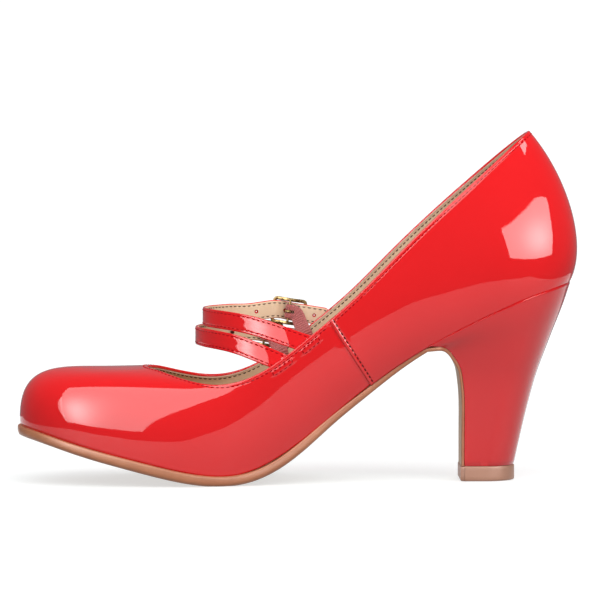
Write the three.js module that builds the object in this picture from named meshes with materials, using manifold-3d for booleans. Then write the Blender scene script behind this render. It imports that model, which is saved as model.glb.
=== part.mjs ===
// Mary jane pump for the right foot: a hollow round-toed upper, a leather outsole that
// runs down the breast of a high covered heel, and two straps that each cross the instep
// to a buckle on an elastic loop. Millimetres, +Z up. The toe points to -X, the inner
// side of the foot faces -Y, and the shoe stands on the plane Z = 0.

import * as THREE from 'three';
import Module from 'manifold-3d';

// Sizes of the last, all at the feather edge, where the upper meets the sole
const LAST_LENGTH = 213.7;      // toe to back, along the floor
const BALL_WIDTH = 76;          // across the ball
const BALL_LIFT = 3.85;         // height of the lowest point, at the ball
const TOE_SPRING = 18.15;       // the toe above the ball
const HEEL_RISE = 73.45;        // the back of the seat above the ball
const BACK_HEIGHT = 63.5;       // the topline above the feather edge, at the back

// Sizes of the upper and of what lies against it
const WALL = 1.7;               // outer leather and lining together
const LAP = 0.6;                // step where the quarter overlaps the vamp
const SEAM_STATION = 9.4;       // rib of the waist seam, counted from the toe
const GAP = 0.3;                // clearance between two pieces that touch
const INSOLE_THICKNESS = 2;
const INSOLE_GAP = 0.45;        // between the insole's edge and the wall

// Sizes of the sole
const SOLE_THICKNESS = 4.1;     // under the ball
const SOLE_EDGE = 0.9;          // how far it stands out past the upper at the ball
const SOLE_BEVEL = 1.6;         // how far its lower edge turns in
const EDGE_ROUND = 0.25;        // how far its edge swells at half its thickness
const FLAP_THICKNESS = 1.15;    // where it runs down the breast of the heel
const FLAP_ROOT = 1.6;          // where it turns from the waist into the breast

// Sizes of the heel
const TIP_HEIGHT = 5.8;
const TIP_WIDTH = 25;
const TIP_LENGTH = 19.8;        // breast to back, at the top of the tip
const TIP_EDGE = 0.2;           // how far it stands out past the heel
const TIP_CHAMFER = 0.5;
const SEAT_LENGTH = 40.85;      // the straight part of the breast to the back of the seat
const BREAST_SWEEP = 14.2;      // how far the breast curves forward under the waist
const HEEL_LIP = 0.9;           // how far the top edge stands out past the last
const HEEL_STRAIGHT = 0.45;     // share of its length where its sides are straight

// Sizes of the straps, their elastic loops and their buckles
const STRAP_WIDTH = 7.2;
const STRAP_THICKNESS = 1.4;
const STRAP_END = 17;           // free end past the buckle
const STRAP_BLUNT = 0.2;        // width of the free end's tip, as a share of the strap's
const HOLE_DIAMETER = 2.1;
const HOLE_SPACING = 11.5;
const ELASTIC_WIDTH = 5.6;
const ELASTIC_THICKNESS = 0.7;
const BUCKLE_LENGTH = 12.8;
const BUCKLE_HEIGHT = 9.8;
const BUCKLE_CORNER = 1.1;      // radius of the frame's corners
const WIRE = 1.0;               // diameter of the buckle's frame and centre bar
const FRAME_CURVE = 1.8;        // the end bars above the centre bar
const BUCKLE_TILT = 0.15;       // how steeply the strap's end slopes down, in radians
const PRONG_DIAMETER = 0.9;

// Where each strap starts, how far it reaches forward and how high its fold stands.
// The stations are ribs on the topline, and the buckle is given from the elastic's rib.
// name     strapRib elasticRib reach foldRise buckleX buckleY buckleZ
const STRAPS = [
  ['front', 8.04, 8.16, 28.9, 8.1, -5.85, 2.3, 5.7],
  ['rear', 8.72, 8.84, 35.4, 8.3, -5.85, 2.3, 7.0],
];

const PATENT_RED = 0xdf1f2b;
const LEATHER_TAN = 0xc58a62;
const LINING_BEIGE = 0xc39a76;
const TIP_BROWN = 0xa9765c;
const ELASTIC_RED = 0xa83a44;
const OLD_BRASS = 0x8f7648;

// The two tables below have one row for each rib of the last, from the toe to the back.
// The ribs are spaced like the angles of a half circle, so they are close at both ends.
const RIBS = 16;

// Plan of the feather edge and of the topline. Widths are shares of the ball width, to
// the inner and the outer side of the centre line. Along is a share of the last's length,
// and height a share of the back height above the feather edge.
// footInner footOuter topAlong topHeight topInner topOuter
const PLAN = [
  [0.053, -0.053, 0.2320, 0.565, 0.020, -0.020],
  [0.200, 0.095, 0.2345, 0.565, 0.105, 0.066],
  [0.320, 0.215, 0.2430, 0.567, 0.171, 0.138],
  [0.408, 0.333, 0.2575, 0.568, 0.224, 0.204],
  [0.462, 0.425, 0.2800, 0.563, 0.292, 0.280],
  [0.487, 0.487, 0.3120, 0.557, 0.362, 0.350],
  [0.482, 0.517, 0.3550, 0.557, 0.420, 0.403],
  [0.422, 0.504, 0.4070, 0.574, 0.439, 0.430],
  [0.340, 0.447, 0.4670, 0.592, 0.421, 0.424],
  [0.284, 0.379, 0.5320, 0.597, 0.391, 0.399],
  [0.268, 0.336, 0.6060, 0.615, 0.363, 0.371],
  [0.284, 0.317, 0.6870, 0.687, 0.339, 0.342],
  [0.305, 0.314, 0.7650, 0.780, 0.303, 0.303],
  [0.303, 0.304, 0.8300, 0.866, 0.250, 0.250],
  [0.242, 0.242, 0.8800, 0.935, 0.178, 0.178],
  [0.132, 0.132, 0.9150, 0.985, 0.092, 0.092],
  [0.000, 0.000, 0.9260, 1.000, 0.000, 0.000],
];

// Shape of the rib between the feather edge and the topline: where its low and its high
// control point lie. Lean is a share of the way across to the rib's other end, rise a
// share of its height, and out a share of the ball width, along the outline's normal.
// lowLean lowRise lowOut highLean highRise highOut
const BULGE = [
  [0.00, 1.32, 0.022, 0.56, -0.09, 0.000],
  [0.00, 1.22, 0.023, 0.57, -0.08, 0.000],
  [0.00, 1.05, 0.025, 0.60, -0.05, 0.004],
  [0.00, 0.88, 0.028, 0.60, -0.02, 0.010],
  [0.00, 0.74, 0.030, 0.54, 0.00, 0.020],
  [0.03, 0.62, 0.034, 0.43, -0.04, 0.033],
  [0.10, 0.50, 0.036, 0.32, -0.12, 0.034],
  [0.20, 0.40, 0.040, 0.30, -0.22, 0.026],
  [0.30, 0.34, 0.045, 0.30, -0.30, 0.024],
  [0.33, 0.33, 0.050, 0.30, -0.33, 0.026],
  [0.33, 0.33, 0.055, 0.30, -0.33, 0.026],
  [0.30, 0.32, 0.063, 0.30, -0.33, 0.033],
  [0.25, 0.30, 0.072, 0.30, -0.33, 0.046],
  [0.15, 0.28, 0.082, 0.35, -0.32, 0.066],
  [0.08, 0.25, 0.088, 0.42, -0.31, 0.080],
  [0.02, 0.23, 0.096, 0.48, -0.31, 0.098],
  [0.00, 0.22, 0.100, 0.50, -0.31, 0.104],
];

// Height of the feather edge above the ball, seen from the side
// along ofToeSpring ofHeelRise
const PROFILE = [
  [0.000, 1.000, 0],
  [0.030, 0.923, 0],
  [0.060, 0.824, 0],
  [0.120, 0.612, 0],
  [0.200, 0.366, 0],
  [0.270, 0.160, 0],
  [0.320, 0.044, 0],
  [0.365, 0.000, 0],
  [0.410, 0, 0.0143],
  [0.460, 0, 0.0742],
  [0.510, 0, 0.1763],
  [0.560, 0, 0.2961],
  [0.620, 0, 0.4282],
  [0.690, 0, 0.5779],
  [0.750, 0, 0.6855],
  [0.810, 0, 0.7767],
  [0.870, 0, 0.8625],
  [0.930, 0, 0.9360],
  [1.000, 0, 1.0000],
];

// Thickness of the sole and how far it stands out past the upper
// rib thickness edge
const SOLE = [
  [0, 0.90, 1.0],
  [3, 0.90, 1.0],
  [6, 1.00, 1.0],
  [7, 0.96, 1.0],
  [8, 0.90, 0.7],
  [9, 0.68, 0.3],
  [10, 0.50, 0.1],
  [11, 0.38, 0.0],
];

// Levels of the heel from the tip up to the seat. Forward is a share of the breast's
// sweep, back a share of the way from the tip's back to the seat's back. The heights are
// shares of the way from the tip to the seat, and the flares shares of the way from the
// tip's width to the seat's, each at the breast and at the back.
// forward frontHeight frontFlare back backHeight backFlare
const HEEL = [
  [0.00, 0.000, 0.00, 0.000, 0.000, 0.00],
  [0.00, 0.280, 0.06, 0.130, 0.180, 0.12],
  [0.00, 0.540, 0.15, 0.280, 0.370, 0.26],
  [0.05, 0.710, 0.25, 0.390, 0.490, 0.38],
  [0.12, 0.810, 0.35, 0.475, 0.565, 0.49],
  [0.27, 0.890, 0.46, 0.580, 0.650, 0.61],
  [0.43, 0.955, 0.60, 0.685, 0.735, 0.73],
  [0.58, 0.985, 0.75, 0.790, 0.815, 0.84],
  [0.72, 0.995, 0.89, 0.900, 0.905, 0.93],
  [1.00, 1.000, 1.00, 1.000, 1.000, 1.00],
];

// Height of a strap over the instep: a share of its fold's rise up to the fold, and of
// the way from the fold to the buckle after it. Turn runs from the inner side to the outer.
// turn ofFold ofBuckle
const STRAP_RISE = [
  [0.00, 0.00, 0],
  [0.08, 0.38, 0],
  [0.16, 0.70, 0],
  [0.28, 0.92, 0],
  [0.50, 1.00, 0],
  [0.75, 1.00, 0.05],
  [0.90, 1.00, 0.45],
  [1.00, 1.00, 1.00],
];

const TOE_X = -0.507 * LAST_LENGTH;
const BACK_X = TOE_X + LAST_LENGTH;
const BREAST_X = BACK_X - SEAT_LENGTH;
const LOOP = 2 * RIBS;
const UP = new THREE.Vector3(0, 0, 1);
const vec = (x, y, z) => new THREE.Vector3(x, y, z);
const lerp = THREE.MathUtils.lerp;

// Second differences of a cubic spline through values that are one step apart. A closed
// spline joins its last value to its first, an open one is straight at both ends.
function curvatures(values, closed) {
  const n = values.length;
  const curve = values.map(() => 0);
  for (let sweep = 0; sweep < 60; sweep += 1) {
    for (let i = closed ? 0 : 1; i < (closed ? n : n - 1); i += 1) {
      const before = (i + n - 1) % n;
      const after = (i + 1) % n;
      const bend = 6 * (values[before] - 2 * values[i] + values[after]);
      curve[i] = (bend - curve[before] - curve[after]) / 4;
    }
  }
  return curve;
}

function splineAt(values, curve, place, closed) {
  const n = values.length;
  const turn = closed ? ((place % n) + n) % n : Math.min(Math.max(place, 0), n - 1);
  const i = Math.min(Math.floor(turn), closed ? n - 1 : n - 2);
  const j = (i + 1) % n;
  const b = turn - i;
  const a = 1 - b;
  return a * values[i] + b * values[j] + ((a ** 3 - a) * curve[i] + (b ** 3 - b) * curve[j]) / 6;
}

// A smooth line through points, as a function of its place counted in points
function lineThrough(points, closed = false) {
  const axes = ['x', 'y', 'z'].map((axis) => points.map((point) => point[axis]));
  const curves = axes.map((values) => curvatures(values, closed));
  return (place) => vec(...axes.map((values, k) => splineAt(values, curves[k], place, closed)));
}

// A smooth function through the rows of a table, whose first column is the place
function tableCurve(rows, column) {
  const places = rows.map((row) => row[0]);
  const values = rows.map((row) => row[column]);
  const n = rows.length;
  const step = (i) => places[i + 1] - places[i];
  const rise = (i) => (values[i + 1] - values[i]) / step(i);
  const curve = values.map(() => 0);
  for (let sweep = 0; sweep < 60; sweep += 1) {
    for (let i = 1; i < n - 1; i += 1) {
      const bend = 6 * (rise(i) - rise(i - 1)) - step(i - 1) * curve[i - 1] - step(i) * curve[i + 1];
      curve[i] = bend / (2 * (step(i - 1) + step(i)));
    }
  }
  return (place) => {
    const at = Math.min(Math.max(place, places[0]), places[n - 1]);
    const i = Math.max(0, Math.min(n - 2, places.findIndex((value) => value >= at) - 1));
    const b = (at - places[i]) / step(i);
    const a = 1 - b;
    const bend = ((a ** 3 - a) * curve[i] + (b ** 3 - b) * curve[i + 1]) * step(i) ** 2 / 6;
    return a * values[i] + b * values[i + 1] + bend;
  };
}

// The last. A station counts ribs round the shoe from the toe: 0 to 16 on the inner side
// and back to the toe at 32 on the outer side.
const profileHeight = tableCurve(
  PROFILE.map(([along, toe, heel]) => [along, BALL_LIFT + toe * TOE_SPRING + heel * HEEL_RISE]),
  1,
);
const featherHeight = (x) => profileHeight((x - TOE_X) / LAST_LENGTH);
const ribAlong = (rib) => (1 - Math.cos(Math.PI * rib / RIBS)) / 2;

function footPoint(rib, side) {
  const x = TOE_X + LAST_LENGTH * ribAlong(rib);
  const y = side * BALL_WIDTH * PLAN[rib][side < 0 ? 0 : 1];
  return vec(x, y, featherHeight(x));
}

function topPoint(rib, side) {
  const [, , along, height, inner, outer] = PLAN[rib];
  const x = TOE_X + LAST_LENGTH * along;
  const y = side * BALL_WIDTH * (side < 0 ? inner : outer);
  return vec(x, y, featherHeight(x) + height * BACK_HEIGHT);
}

const loopRibs = [];
for (let rib = 0; rib <= RIBS; rib += 1) loopRibs.push([rib, -1]);
for (let rib = RIBS - 1; rib > 0; rib -= 1) loopRibs.push([rib, 1]);
const footRing = loopRibs.map(([rib, side]) => footPoint(rib, side));
const topRing = loopRibs.map(([rib, side]) => topPoint(rib, side));
const outwardRing = footRing.map((point, i) => {
  const after = footRing[(i + 1) % LOOP];
  const before = footRing[(i + LOOP - 1) % LOOP];
  return vec(after.y - before.y, before.x - after.x, 0).normalize();
});
if (outwardRing[0].x > 0) outwardRing.forEach((normal) => normal.negate());

// The two rings of control points between the feather edge and the topline
function bulgeRing(start, end, columns) {
  return start.map((point, i) => {
    const [lean, rise, out] = columns(BULGE[loopRibs[i][0]]);
    const across = end[i].clone().sub(point);
    const height = topRing[i].z - footRing[i].z;
    const x = point.x + lean * across.x + out * BALL_WIDTH * outwardRing[i].x;
    const y = point.y + lean * across.y + out * BALL_WIDTH * outwardRing[i].y;
    return vec(x, y, point.z + rise * height);
  });
}

const lowRing = bulgeRing(footRing, topRing, (row) => row.slice(0, 3));
const highRing = bulgeRing(topRing, footRing, (row) => row.slice(3, 6));
const foot = lineThrough(footRing, true);
const top = lineThrough(topRing, true);
const outward = lineThrough(outwardRing, true);
const ringLines = [foot, lineThrough(lowRing, true), lineThrough(highRing, true), top];

// A point of the last's skin. Height 0 is the feather edge and 1 the topline.
function skin(station, height) {
  const low = 1 - height;
  const weights = [low ** 3, 3 * low * low * height, 3 * low * height * height, height ** 3];
  const point = vec(0, 0, 0);
  ringLines.forEach((line, k) => point.addScaledVector(line(station), weights[k]));
  return point;
}

function skinNormal(station, height) {
  const step = 0.02;
  const low = Math.max(0, height - step);
  const high = Math.min(1, height + step);
  const along = skin(station + step, height).sub(skin(station - step, height));
  const across = skin(station, high).sub(skin(station, low));
  return along.cross(across).normalize();
}

// A point beside the upper's wall: outside its outer face, or inside its inner face
function besideWall(station, height, distance) {
  const depth = distance < 0 ? distance - WALL : distance;
  return skin(station, height).addScaledVector(skinNormal(station, height), depth);
}

// Meshes
const material = (color, roughness, metalness = 0) =>
  new THREE.MeshStandardMaterial({ color, roughness, metalness });

// A closed mesh from points and polygons, wound so that its faces point out
function closedMesh(name, points, polygons, look) {
  const triangles = [];
  for (const polygon of polygons) {
    for (let k = 1; k < polygon.length - 1; k += 1) {
      const corner = [polygon[0], polygon[k], polygon[k + 1]];
      if (new Set(corner).size === 3) triangles.push(corner);
    }
  }
  let volume = 0;
  for (const [a, b, c] of triangles) {
    volume += points[a].dot(points[b].clone().cross(points[c]));
  }
  if (volume < 0) triangles.forEach((corner) => corner.reverse());
  const geometry = new THREE.BufferGeometry();
  geometry.setAttribute('position', new THREE.Float32BufferAttribute(
    points.flatMap((point) => point.toArray()), 3));
  geometry.setIndex(triangles.flat());
  geometry.computeVertexNormals();
  const mesh = new THREE.Mesh(geometry, look);
  mesh.name = name;
  return mesh;
}

// Quads between neighbouring rings of equal length. Each ring closes on itself.
function ringQuads(rings, size, closed) {
  const quads = [];
  for (let i = 0; i < (closed ? rings : rings - 1); i += 1) {
    const here = i * size;
    const next = ((i + 1) % rings) * size;
    for (let k = 0; k < size; k += 1) {
      const side = (k + 1) % size;
      quads.push([here + k, here + side, next + side, next + k]);
    }
  }
  return quads;
}

// A slab from stacked outlines. Each outline is a list of rungs, a left and a right
// point across the shoe, and a rung whose two points are one closes that end.
function slab(name, outlines, look) {
  const same = (rung) => rung[0] === rung[1];
  const rungs = outlines[0].length;
  const left = outlines[0].map((rung, i) => i);
  const openRungs = outlines[0].map((rung, i) => i).filter((i) => !same(outlines[0][i]));
  const right = outlines[0].map((rung, i) =>
    same(rung) ? i : rungs + openRungs.length - 1 - openRungs.indexOf(i));
  const size = rungs + openRungs.length;
  const points = outlines.flatMap((outline) => [
    ...outline.map((rung) => rung[0]),
    ...openRungs.toReversed().map((i) => outline[i][1]),
  ]);
  const polygons = ringQuads(outlines.length, size, false);
  const cap = (base, flip) => {
    for (let i = 0; i < rungs - 1; i += 1) {
      const quad = [left[i], left[i + 1], right[i + 1], right[i]].map((k) => base + k);
      const corners = quad.filter((corner, k) => corner !== quad[(k + 3) % 4]);
      polygons.push(flip ? corners.reverse() : corners);
    }
  };
  cap(0, true);
  cap((outlines.length - 1) * size, false);
  return closedMesh(name, points, polygons, look);
}

// A flat band along a line. Each section is a rectangle, wide along its own direction.
function band(name, sections, thickness, look) {
  const points = [];
  sections.forEach(({ point, across, width }, i) => {
    const before = sections[Math.max(0, i - 1)].point;
    const after = sections[Math.min(sections.length - 1, i + 1)].point;
    const along = after.clone().sub(before).normalize();
    const side = across.clone().addScaledVector(along, -across.dot(along)).normalize();
    const out = along.clone().cross(side);
    for (const [s, t] of [[-1, -1], [1, -1], [1, 1], [-1, 1]]) {
      points.push(point.clone()
        .addScaledVector(side, s * width / 2).addScaledVector(out, t * thickness / 2));
    }
  });
  const last = points.length - 4;
  const polygons = ringQuads(sections.length, 4, false);
  polygons.push([3, 2, 1, 0], [last, last + 1, last + 2, last + 3]);
  return closedMesh(name, points, polygons, look);
}

// Joining and cutting of closed meshes
const wasm = await Module();
wasm.setup();

function toSolid(mesh) {
  const position = mesh.geometry.getAttribute('position');
  return new wasm.Manifold(new wasm.Mesh({
    numProp: 3,
    vertProperties: new Float32Array(position.array),
    triVerts: new Uint32Array(mesh.geometry.getIndex().array),
  }));
}

function fromSolid(name, solid, look) {
  const { vertProperties, triVerts, numProp } = solid.getMesh();
  const points = [];
  for (let i = 0; i < vertProperties.length; i += numProp) {
    points.push(vec(vertProperties[i], vertProperties[i + 1], vertProperties[i + 2]));
  }
  const polygons = [];
  for (let i = 0; i < triVerts.length; i += 3) {
    polygons.push([triVerts[i], triVerts[i + 1], triVerts[i + 2]]);
  }
  return closedMesh(name, points, polygons, look);
}

// A straight bar with regular sides between two points
function bar(start, end, diameter, sides = 8) {
  const along = end.clone().sub(start).normalize();
  const helper = Math.abs(along.z) < 0.9 ? UP : vec(1, 0, 0);
  const side = along.clone().cross(helper).normalize();
  const other = along.clone().cross(side);
  const points = [start, end].flatMap((centre) => Array.from({ length: sides }, (_, k) => {
    const angle = 2 * Math.PI * (k + 0.5) / sides;
    return centre.clone()
      .addScaledVector(side, Math.cos(angle) * diameter / 2)
      .addScaledVector(other, Math.sin(angle) * diameter / 2);
  }));
  const ring = Array.from({ length: sides }, (_, k) => k);
  const caps = [ring.toReversed(), ring.map((k) => k + sides)];
  return closedMesh('bar', points, [...ringQuads(2, sides, false), ...caps], null);
}

// The upper: one wall, open at the collar and underneath, with the lap of the quarter
function makeUpper() {
  const perRib = 2;
  const heights = 12;
  const seams = [SEAM_STATION, LOOP - SEAM_STATION];
  const seamHalf = 0.02;
  const stations = [];
  for (let k = 0; k < LOOP * perRib; k += 1) stations.push(k / perRib);
  seams.forEach((seam) => stations.push(seam - seamHalf, seam + seamHalf));
  stations.sort((a, b) => a - b);
  const onQuarter = (station) => station > seams[0] && station < seams[1];

  const sectionAt = (station) => {
    const outer = [];
    const inner = [];
    for (let k = 0; k <= heights; k += 1) {
      const height = k / heights;
      const normal = skinNormal(station, height);
      const proud = onQuarter(station) ? LAP : 0;
      outer.push(skin(station, height).addScaledVector(normal, proud));
      inner.push(skin(station, height).addScaledVector(normal, -WALL));
    }
    const rim = outward(station).normalize();
    inner[0] = foot(station).addScaledVector(rim, -WALL);
    outer[0].z = featherHeight(outer[0].x);
    inner[0].z = featherHeight(inner[0].x);
    return [...outer, ...inner.reverse()];
  };

  const sections = stations.map(sectionAt);
  const size = 2 * (heights + 1);
  const polygons = ringQuads(stations.length, size, true);
  return closedMesh('upper', sections.flat(), polygons, material(PATENT_RED, 0.15));
}

// Slope of the feather edge, and the length along it of a unit step along the floor
const featherSlope = (x) => featherHeight(x + 0.5) - featherHeight(x - 0.5);
const slopeLength = (x) => Math.hypot(1, featherSlope(x));

// A point of the feather edge moved out or in, and lifted off it square to its slope
function edgePoint(station, out, lift) {
  const point = foot(station).addScaledVector(outward(station).normalize(), out);
  point.z = featherHeight(point.x) + lift * slopeLength(point.x);
  return point;
}

function makeInsole() {
  const inset = -(WALL + INSOLE_GAP);
  const outline = (out, lift) => Array.from({ length: LOOP + 1 }, (_, k) => {
    const station = k / 2;
    const left = edgePoint(station, out, lift);
    const closes = k === 0 || k === LOOP;
    return [left, closes ? left : edgePoint(LOOP - station, out, lift)];
  });
  const outlines = [outline(inset, 0), outline(inset, INSOLE_THICKNESS)];
  return slab('insole', outlines, material(LINING_BEIGE, 0.7));
}

// The heel: its seat lies under the feather edge, and its levels narrow down to the tip
const seatX = BREAST_X - BREAST_SWEEP;
const seatStation = RIBS / Math.PI * Math.acos(1 - 2 * (seatX - TOE_X) / LAST_LENGTH);
const seatFront = edgePoint(seatStation, HEEL_LIP, -GAP);
const seatBack = edgePoint(RIBS, HEEL_LIP, -GAP);
const heelBase = TIP_HEIGHT + GAP;
const tipBackX = BREAST_X + TIP_LENGTH;

// Half of a D: straight sides and a round back
function dShape(share) {
  const turned = Math.max(0, (share - HEEL_STRAIGHT) / (1 - HEEL_STRAIGHT));
  return Math.sqrt(1 - turned ** 2);
}

function heelPoint(station, level, side) {
  const [forward, frontHeight, frontFlare, back, backHeight, backFlare] = HEEL[level];
  const seat = edgePoint(side < 0 ? station : LOOP - station, HEEL_LIP, -GAP);
  const along = (foot(station).x - foot(seatStation).x) / (foot(RIBS).x - foot(seatStation).x);
  const frontX = BREAST_X - forward * BREAST_SWEEP;
  const frontZ = lerp(heelBase, seatFront.z, frontHeight);
  const backX = lerp(tipBackX, seatBack.x, back);
  const backZ = lerp(heelBase, seatBack.z, backHeight);
  const x = lerp(frontX, backX, along);
  const crown = featherHeight(lerp(seatX, seatBack.x, along)) - GAP
    - lerp(seatFront.z, seatBack.z, along);
  const flare = lerp(frontFlare, backFlare, Math.sin(along * Math.PI / 2));
  const z = lerp(frontZ, backZ, along) + crown * flare ** 2;
  const y = lerp(side * dShape(along) * TIP_WIDTH / 2, seat.y, flare);
  return vec(x, y, z);
}

const heelStations = [];
for (let k = 0; k <= 12; k += 1) heelStations.push(lerp(seatStation, RIBS, k / 12));

function makeHeel() {
  const outlines = HEEL.map((row, level) => heelStations.map((station) => {
    const left = heelPoint(station, level, -1);
    return [left, station === RIBS ? left : heelPoint(station, level, 1)];
  }));
  return slab('heel', outlines, material(PATENT_RED, 0.2));
}

function makeHeelTip() {
  const frontX = BREAST_X - GAP - FLAP_THICKNESS - GAP;
  const backX = tipBackX + TIP_EDGE;
  const outline = (z, out) => heelStations.map((station, k) => {
    const share = k / (heelStations.length - 1);
    const along = Math.sin(share * Math.PI / 2);
    const x = lerp(frontX - out, backX + out, along);
    const half = dShape(along) * (TIP_WIDTH / 2 + TIP_EDGE + out);
    const left = vec(x, -half, z);
    return [left, k === heelStations.length - 1 ? left : vec(x, half, z)];
  });
  const outlines = [outline(0, -TIP_CHAMFER), outline(TIP_CHAMFER, 0), outline(TIP_HEIGHT, 0)];
  return slab('heel_tip', outlines, material(TIP_BROWN, 0.6));
}

// The outsole: from the toe under the waist, then round and down the breast of the heel
function makeOutsole() {
  const thicknessAt = tableCurve(SOLE, 1);
  const edgeAt = tableCurve(SOLE, 2);
  const perRib = 4;
  const last = Math.floor(seatStation * perRib - 0.25);
  const outlines = [[], [], []];
  for (let k = 0; k <= last; k += 1) {
    const station = k / perRib;
    const depth = thicknessAt(station) * SOLE_THICKNESS;
    const out = edgeAt(station) * SOLE_EDGE;
    const bevel = Math.min(SOLE_BEVEL, depth / 2);
    const lower = (side, drop, inset) => {
      const at = side < 0 ? station : LOOP - station;
      const point = edgePoint(at, out - inset, -GAP);
      const length = slopeLength(point.x);
      point.z = Math.max(0, point.z - drop * depth / length);
      point.x += drop * depth * featherSlope(point.x) / length;
      return point;
    };
    [[0, EDGE_ROUND], [0.5, 0], [1, bevel]].forEach(([drop, inset], ring) => {
      const left = lower(-1, drop, inset);
      outlines[ring].push([left, k === 0 ? left : lower(1, drop, inset)]);
    });
  }
  const rootLevel = HEEL.length - 2;
  for (let level = rootLevel; level >= 0; level -= 1) {
    const above = heelPoint(seatStation, level + 1, -1);
    const below = heelPoint(seatStation, Math.max(0, level - 1), -1);
    const down = vec(below.x - above.x, 0, below.z - above.z).normalize();
    const front = vec(down.z, 0, -down.x);
    const depth = lerp(FLAP_THICKNESS, FLAP_ROOT, Math.max(0, level - rootLevel + 3) / 3);
    [0, 0.5, 1].forEach((drop, ring) => {
      const rung = [-1, 1].map((side) => heelPoint(seatStation, level, side)
        .addScaledVector(front, GAP + drop * depth));
      outlines[ring].push(rung);
    });
  }
  return slab('outsole', outlines, material(LEATHER_TAN, 0.5));
}

// The buckle of a strap: its centre and its directions, along the strap towards the
// heel, up across the strap, and out from the foot
function buckleFrame([, , elasticRib, , , x, y, z]) {
  const centre = top(LOOP - elasticRib).add(vec(x, y, z));
  const along = vec(Math.cos(BUCKLE_TILT), 0, -Math.sin(BUCKLE_TILT));
  const out = vec(0, 1, 0);
  const up = along.clone().cross(out);
  const place = (s, t, h) => centre.clone()
    .addScaledVector(along, s).addScaledVector(up, t).addScaledVector(out, h);
  return { centre, along, out, up, place };
}

// How far the strap stands out from the buckle's centre bar, by the distance from it:
// over the bar and the elastic, then inside the end bars of the frame
const elasticRadius = WIRE / 2 + GAP + ELASTIC_THICKNESS / 2;
const overBar = elasticRadius + ELASTIC_THICKNESS / 2 + GAP + STRAP_THICKNESS / 2;
const underEnd = FRAME_CURVE - WIRE / 2 - GAP - STRAP_THICKNESS / 2;
const endBar = (BUCKLE_LENGTH - WIRE) / 2;
const strapWave = tableCurve([
  [0, overBar],
  [0.2 * endBar, overBar],
  [0.5 * endBar, lerp(underEnd, overBar, 0.55)],
  [0.85 * endBar, underEnd],
  [1.15 * endBar, underEnd],
  [1.5 * endBar, underEnd / 2],
  [2 * endBar, 0],
], 1);

// The centre line of a strap: up inside the inner wall, round over the instep, through
// its buckle and down outside the outer wall
function strapLine(strap) {
  const [, strapRib, , reach, foldRise] = strap;
  const beside = 2 * GAP + STRAP_THICKNESS / 2;
  const start = besideWall(strapRib, 1, -beside);
  const buckle = buckleFrame(strap);
  const ofFold = tableCurve(STRAP_RISE, 1);
  const ofBuckle = tableCurve(STRAP_RISE, 2);
  const climb = buckle.centre.z - start.z - foldRise;
  const points = [];
  const across = [];
  for (const [station, height] of [[strapRib + 0.30, 0.80], [strapRib + 0.15, 0.90]]) {
    points.push(besideWall(station, height, -beside));
    across.push(skin(station, 1).sub(skin(station, 0.8)).normalize());
  }
  const turns = 14;
  for (let k = 0; k < turns - 1; k += 1) {
    const turn = k / turns;
    const angle = Math.PI * turn;
    const x = lerp(start.x, buckle.centre.x, turn) - reach * Math.sin(angle);
    const y = lerp(start.y, buckle.centre.y, (1 - Math.cos(angle)) / 2);
    const z = start.z + ofFold(turn) * foldRise + ofBuckle(turn) * climb;
    points.push(vec(x, y, z));
    across.push(UP.clone());
  }
  for (const s of [-endBar, 0, STRAP_END / 3, STRAP_END * 2 / 3, STRAP_END]) {
    points.push(buckle.place(s, 0, 0));
    across.push(buckle.up.clone());
  }
  return { point: lineThrough(points), across: lineThrough(across), buckle, count: points.length };
}

function makeStrap(strap) {
  const line = strapLine(strap);
  const buckle = line.buckle;
  const samples = 4 * (line.count - 1);
  const sections = [];
  const tipRadius = STRAP_WIDTH / 2;
  for (let k = 0; k <= samples; k += 1) {
    const place = k / 4;
    const point = line.point(place);
    const along = point.clone().sub(buckle.centre).dot(buckle.along);
    const near = point.distanceTo(buckle.centre) < 2.2 * endBar;
    if (near) point.addScaledVector(buckle.out, strapWave(Math.abs(along)));
    const left = place > line.count - 4 ? STRAP_END - along : STRAP_END;
    const round = Math.max(0, 1 - left / tipRadius);
    const width = STRAP_WIDTH * Math.max(STRAP_BLUNT, Math.sqrt(Math.max(0, 1 - round ** 2)));
    sections.push({ point, across: line.across(place), width });
  }
  const look = material(PATENT_RED, 0.15);
  const body = band('body', sections, STRAP_THICKNESS, look);
  let solid = toSolid(body);
  const distance = (point) => point.clone().sub(buckle.centre).dot(buckle.along);
  for (const offset of [-HOLE_SPACING, 0, HOLE_SPACING]) {
    const at = offset - prongReach;
    const near = sections.slice(sections.length / 2).map(({ point }) => point)
      .reduce((a, b) => (Math.abs(distance(a) - at) < Math.abs(distance(b) - at) ? a : b));
    const through = STRAP_THICKNESS * 2;
    const inside = near.clone().addScaledVector(buckle.out, -through);
    const outside = near.clone().addScaledVector(buckle.out, through);
    solid = solid.subtract(toSolid(bar(inside, outside, HOLE_DIAMETER)));
  }
  return fromSolid(`strap_${strap[0]}`, solid, look);
}

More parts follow.
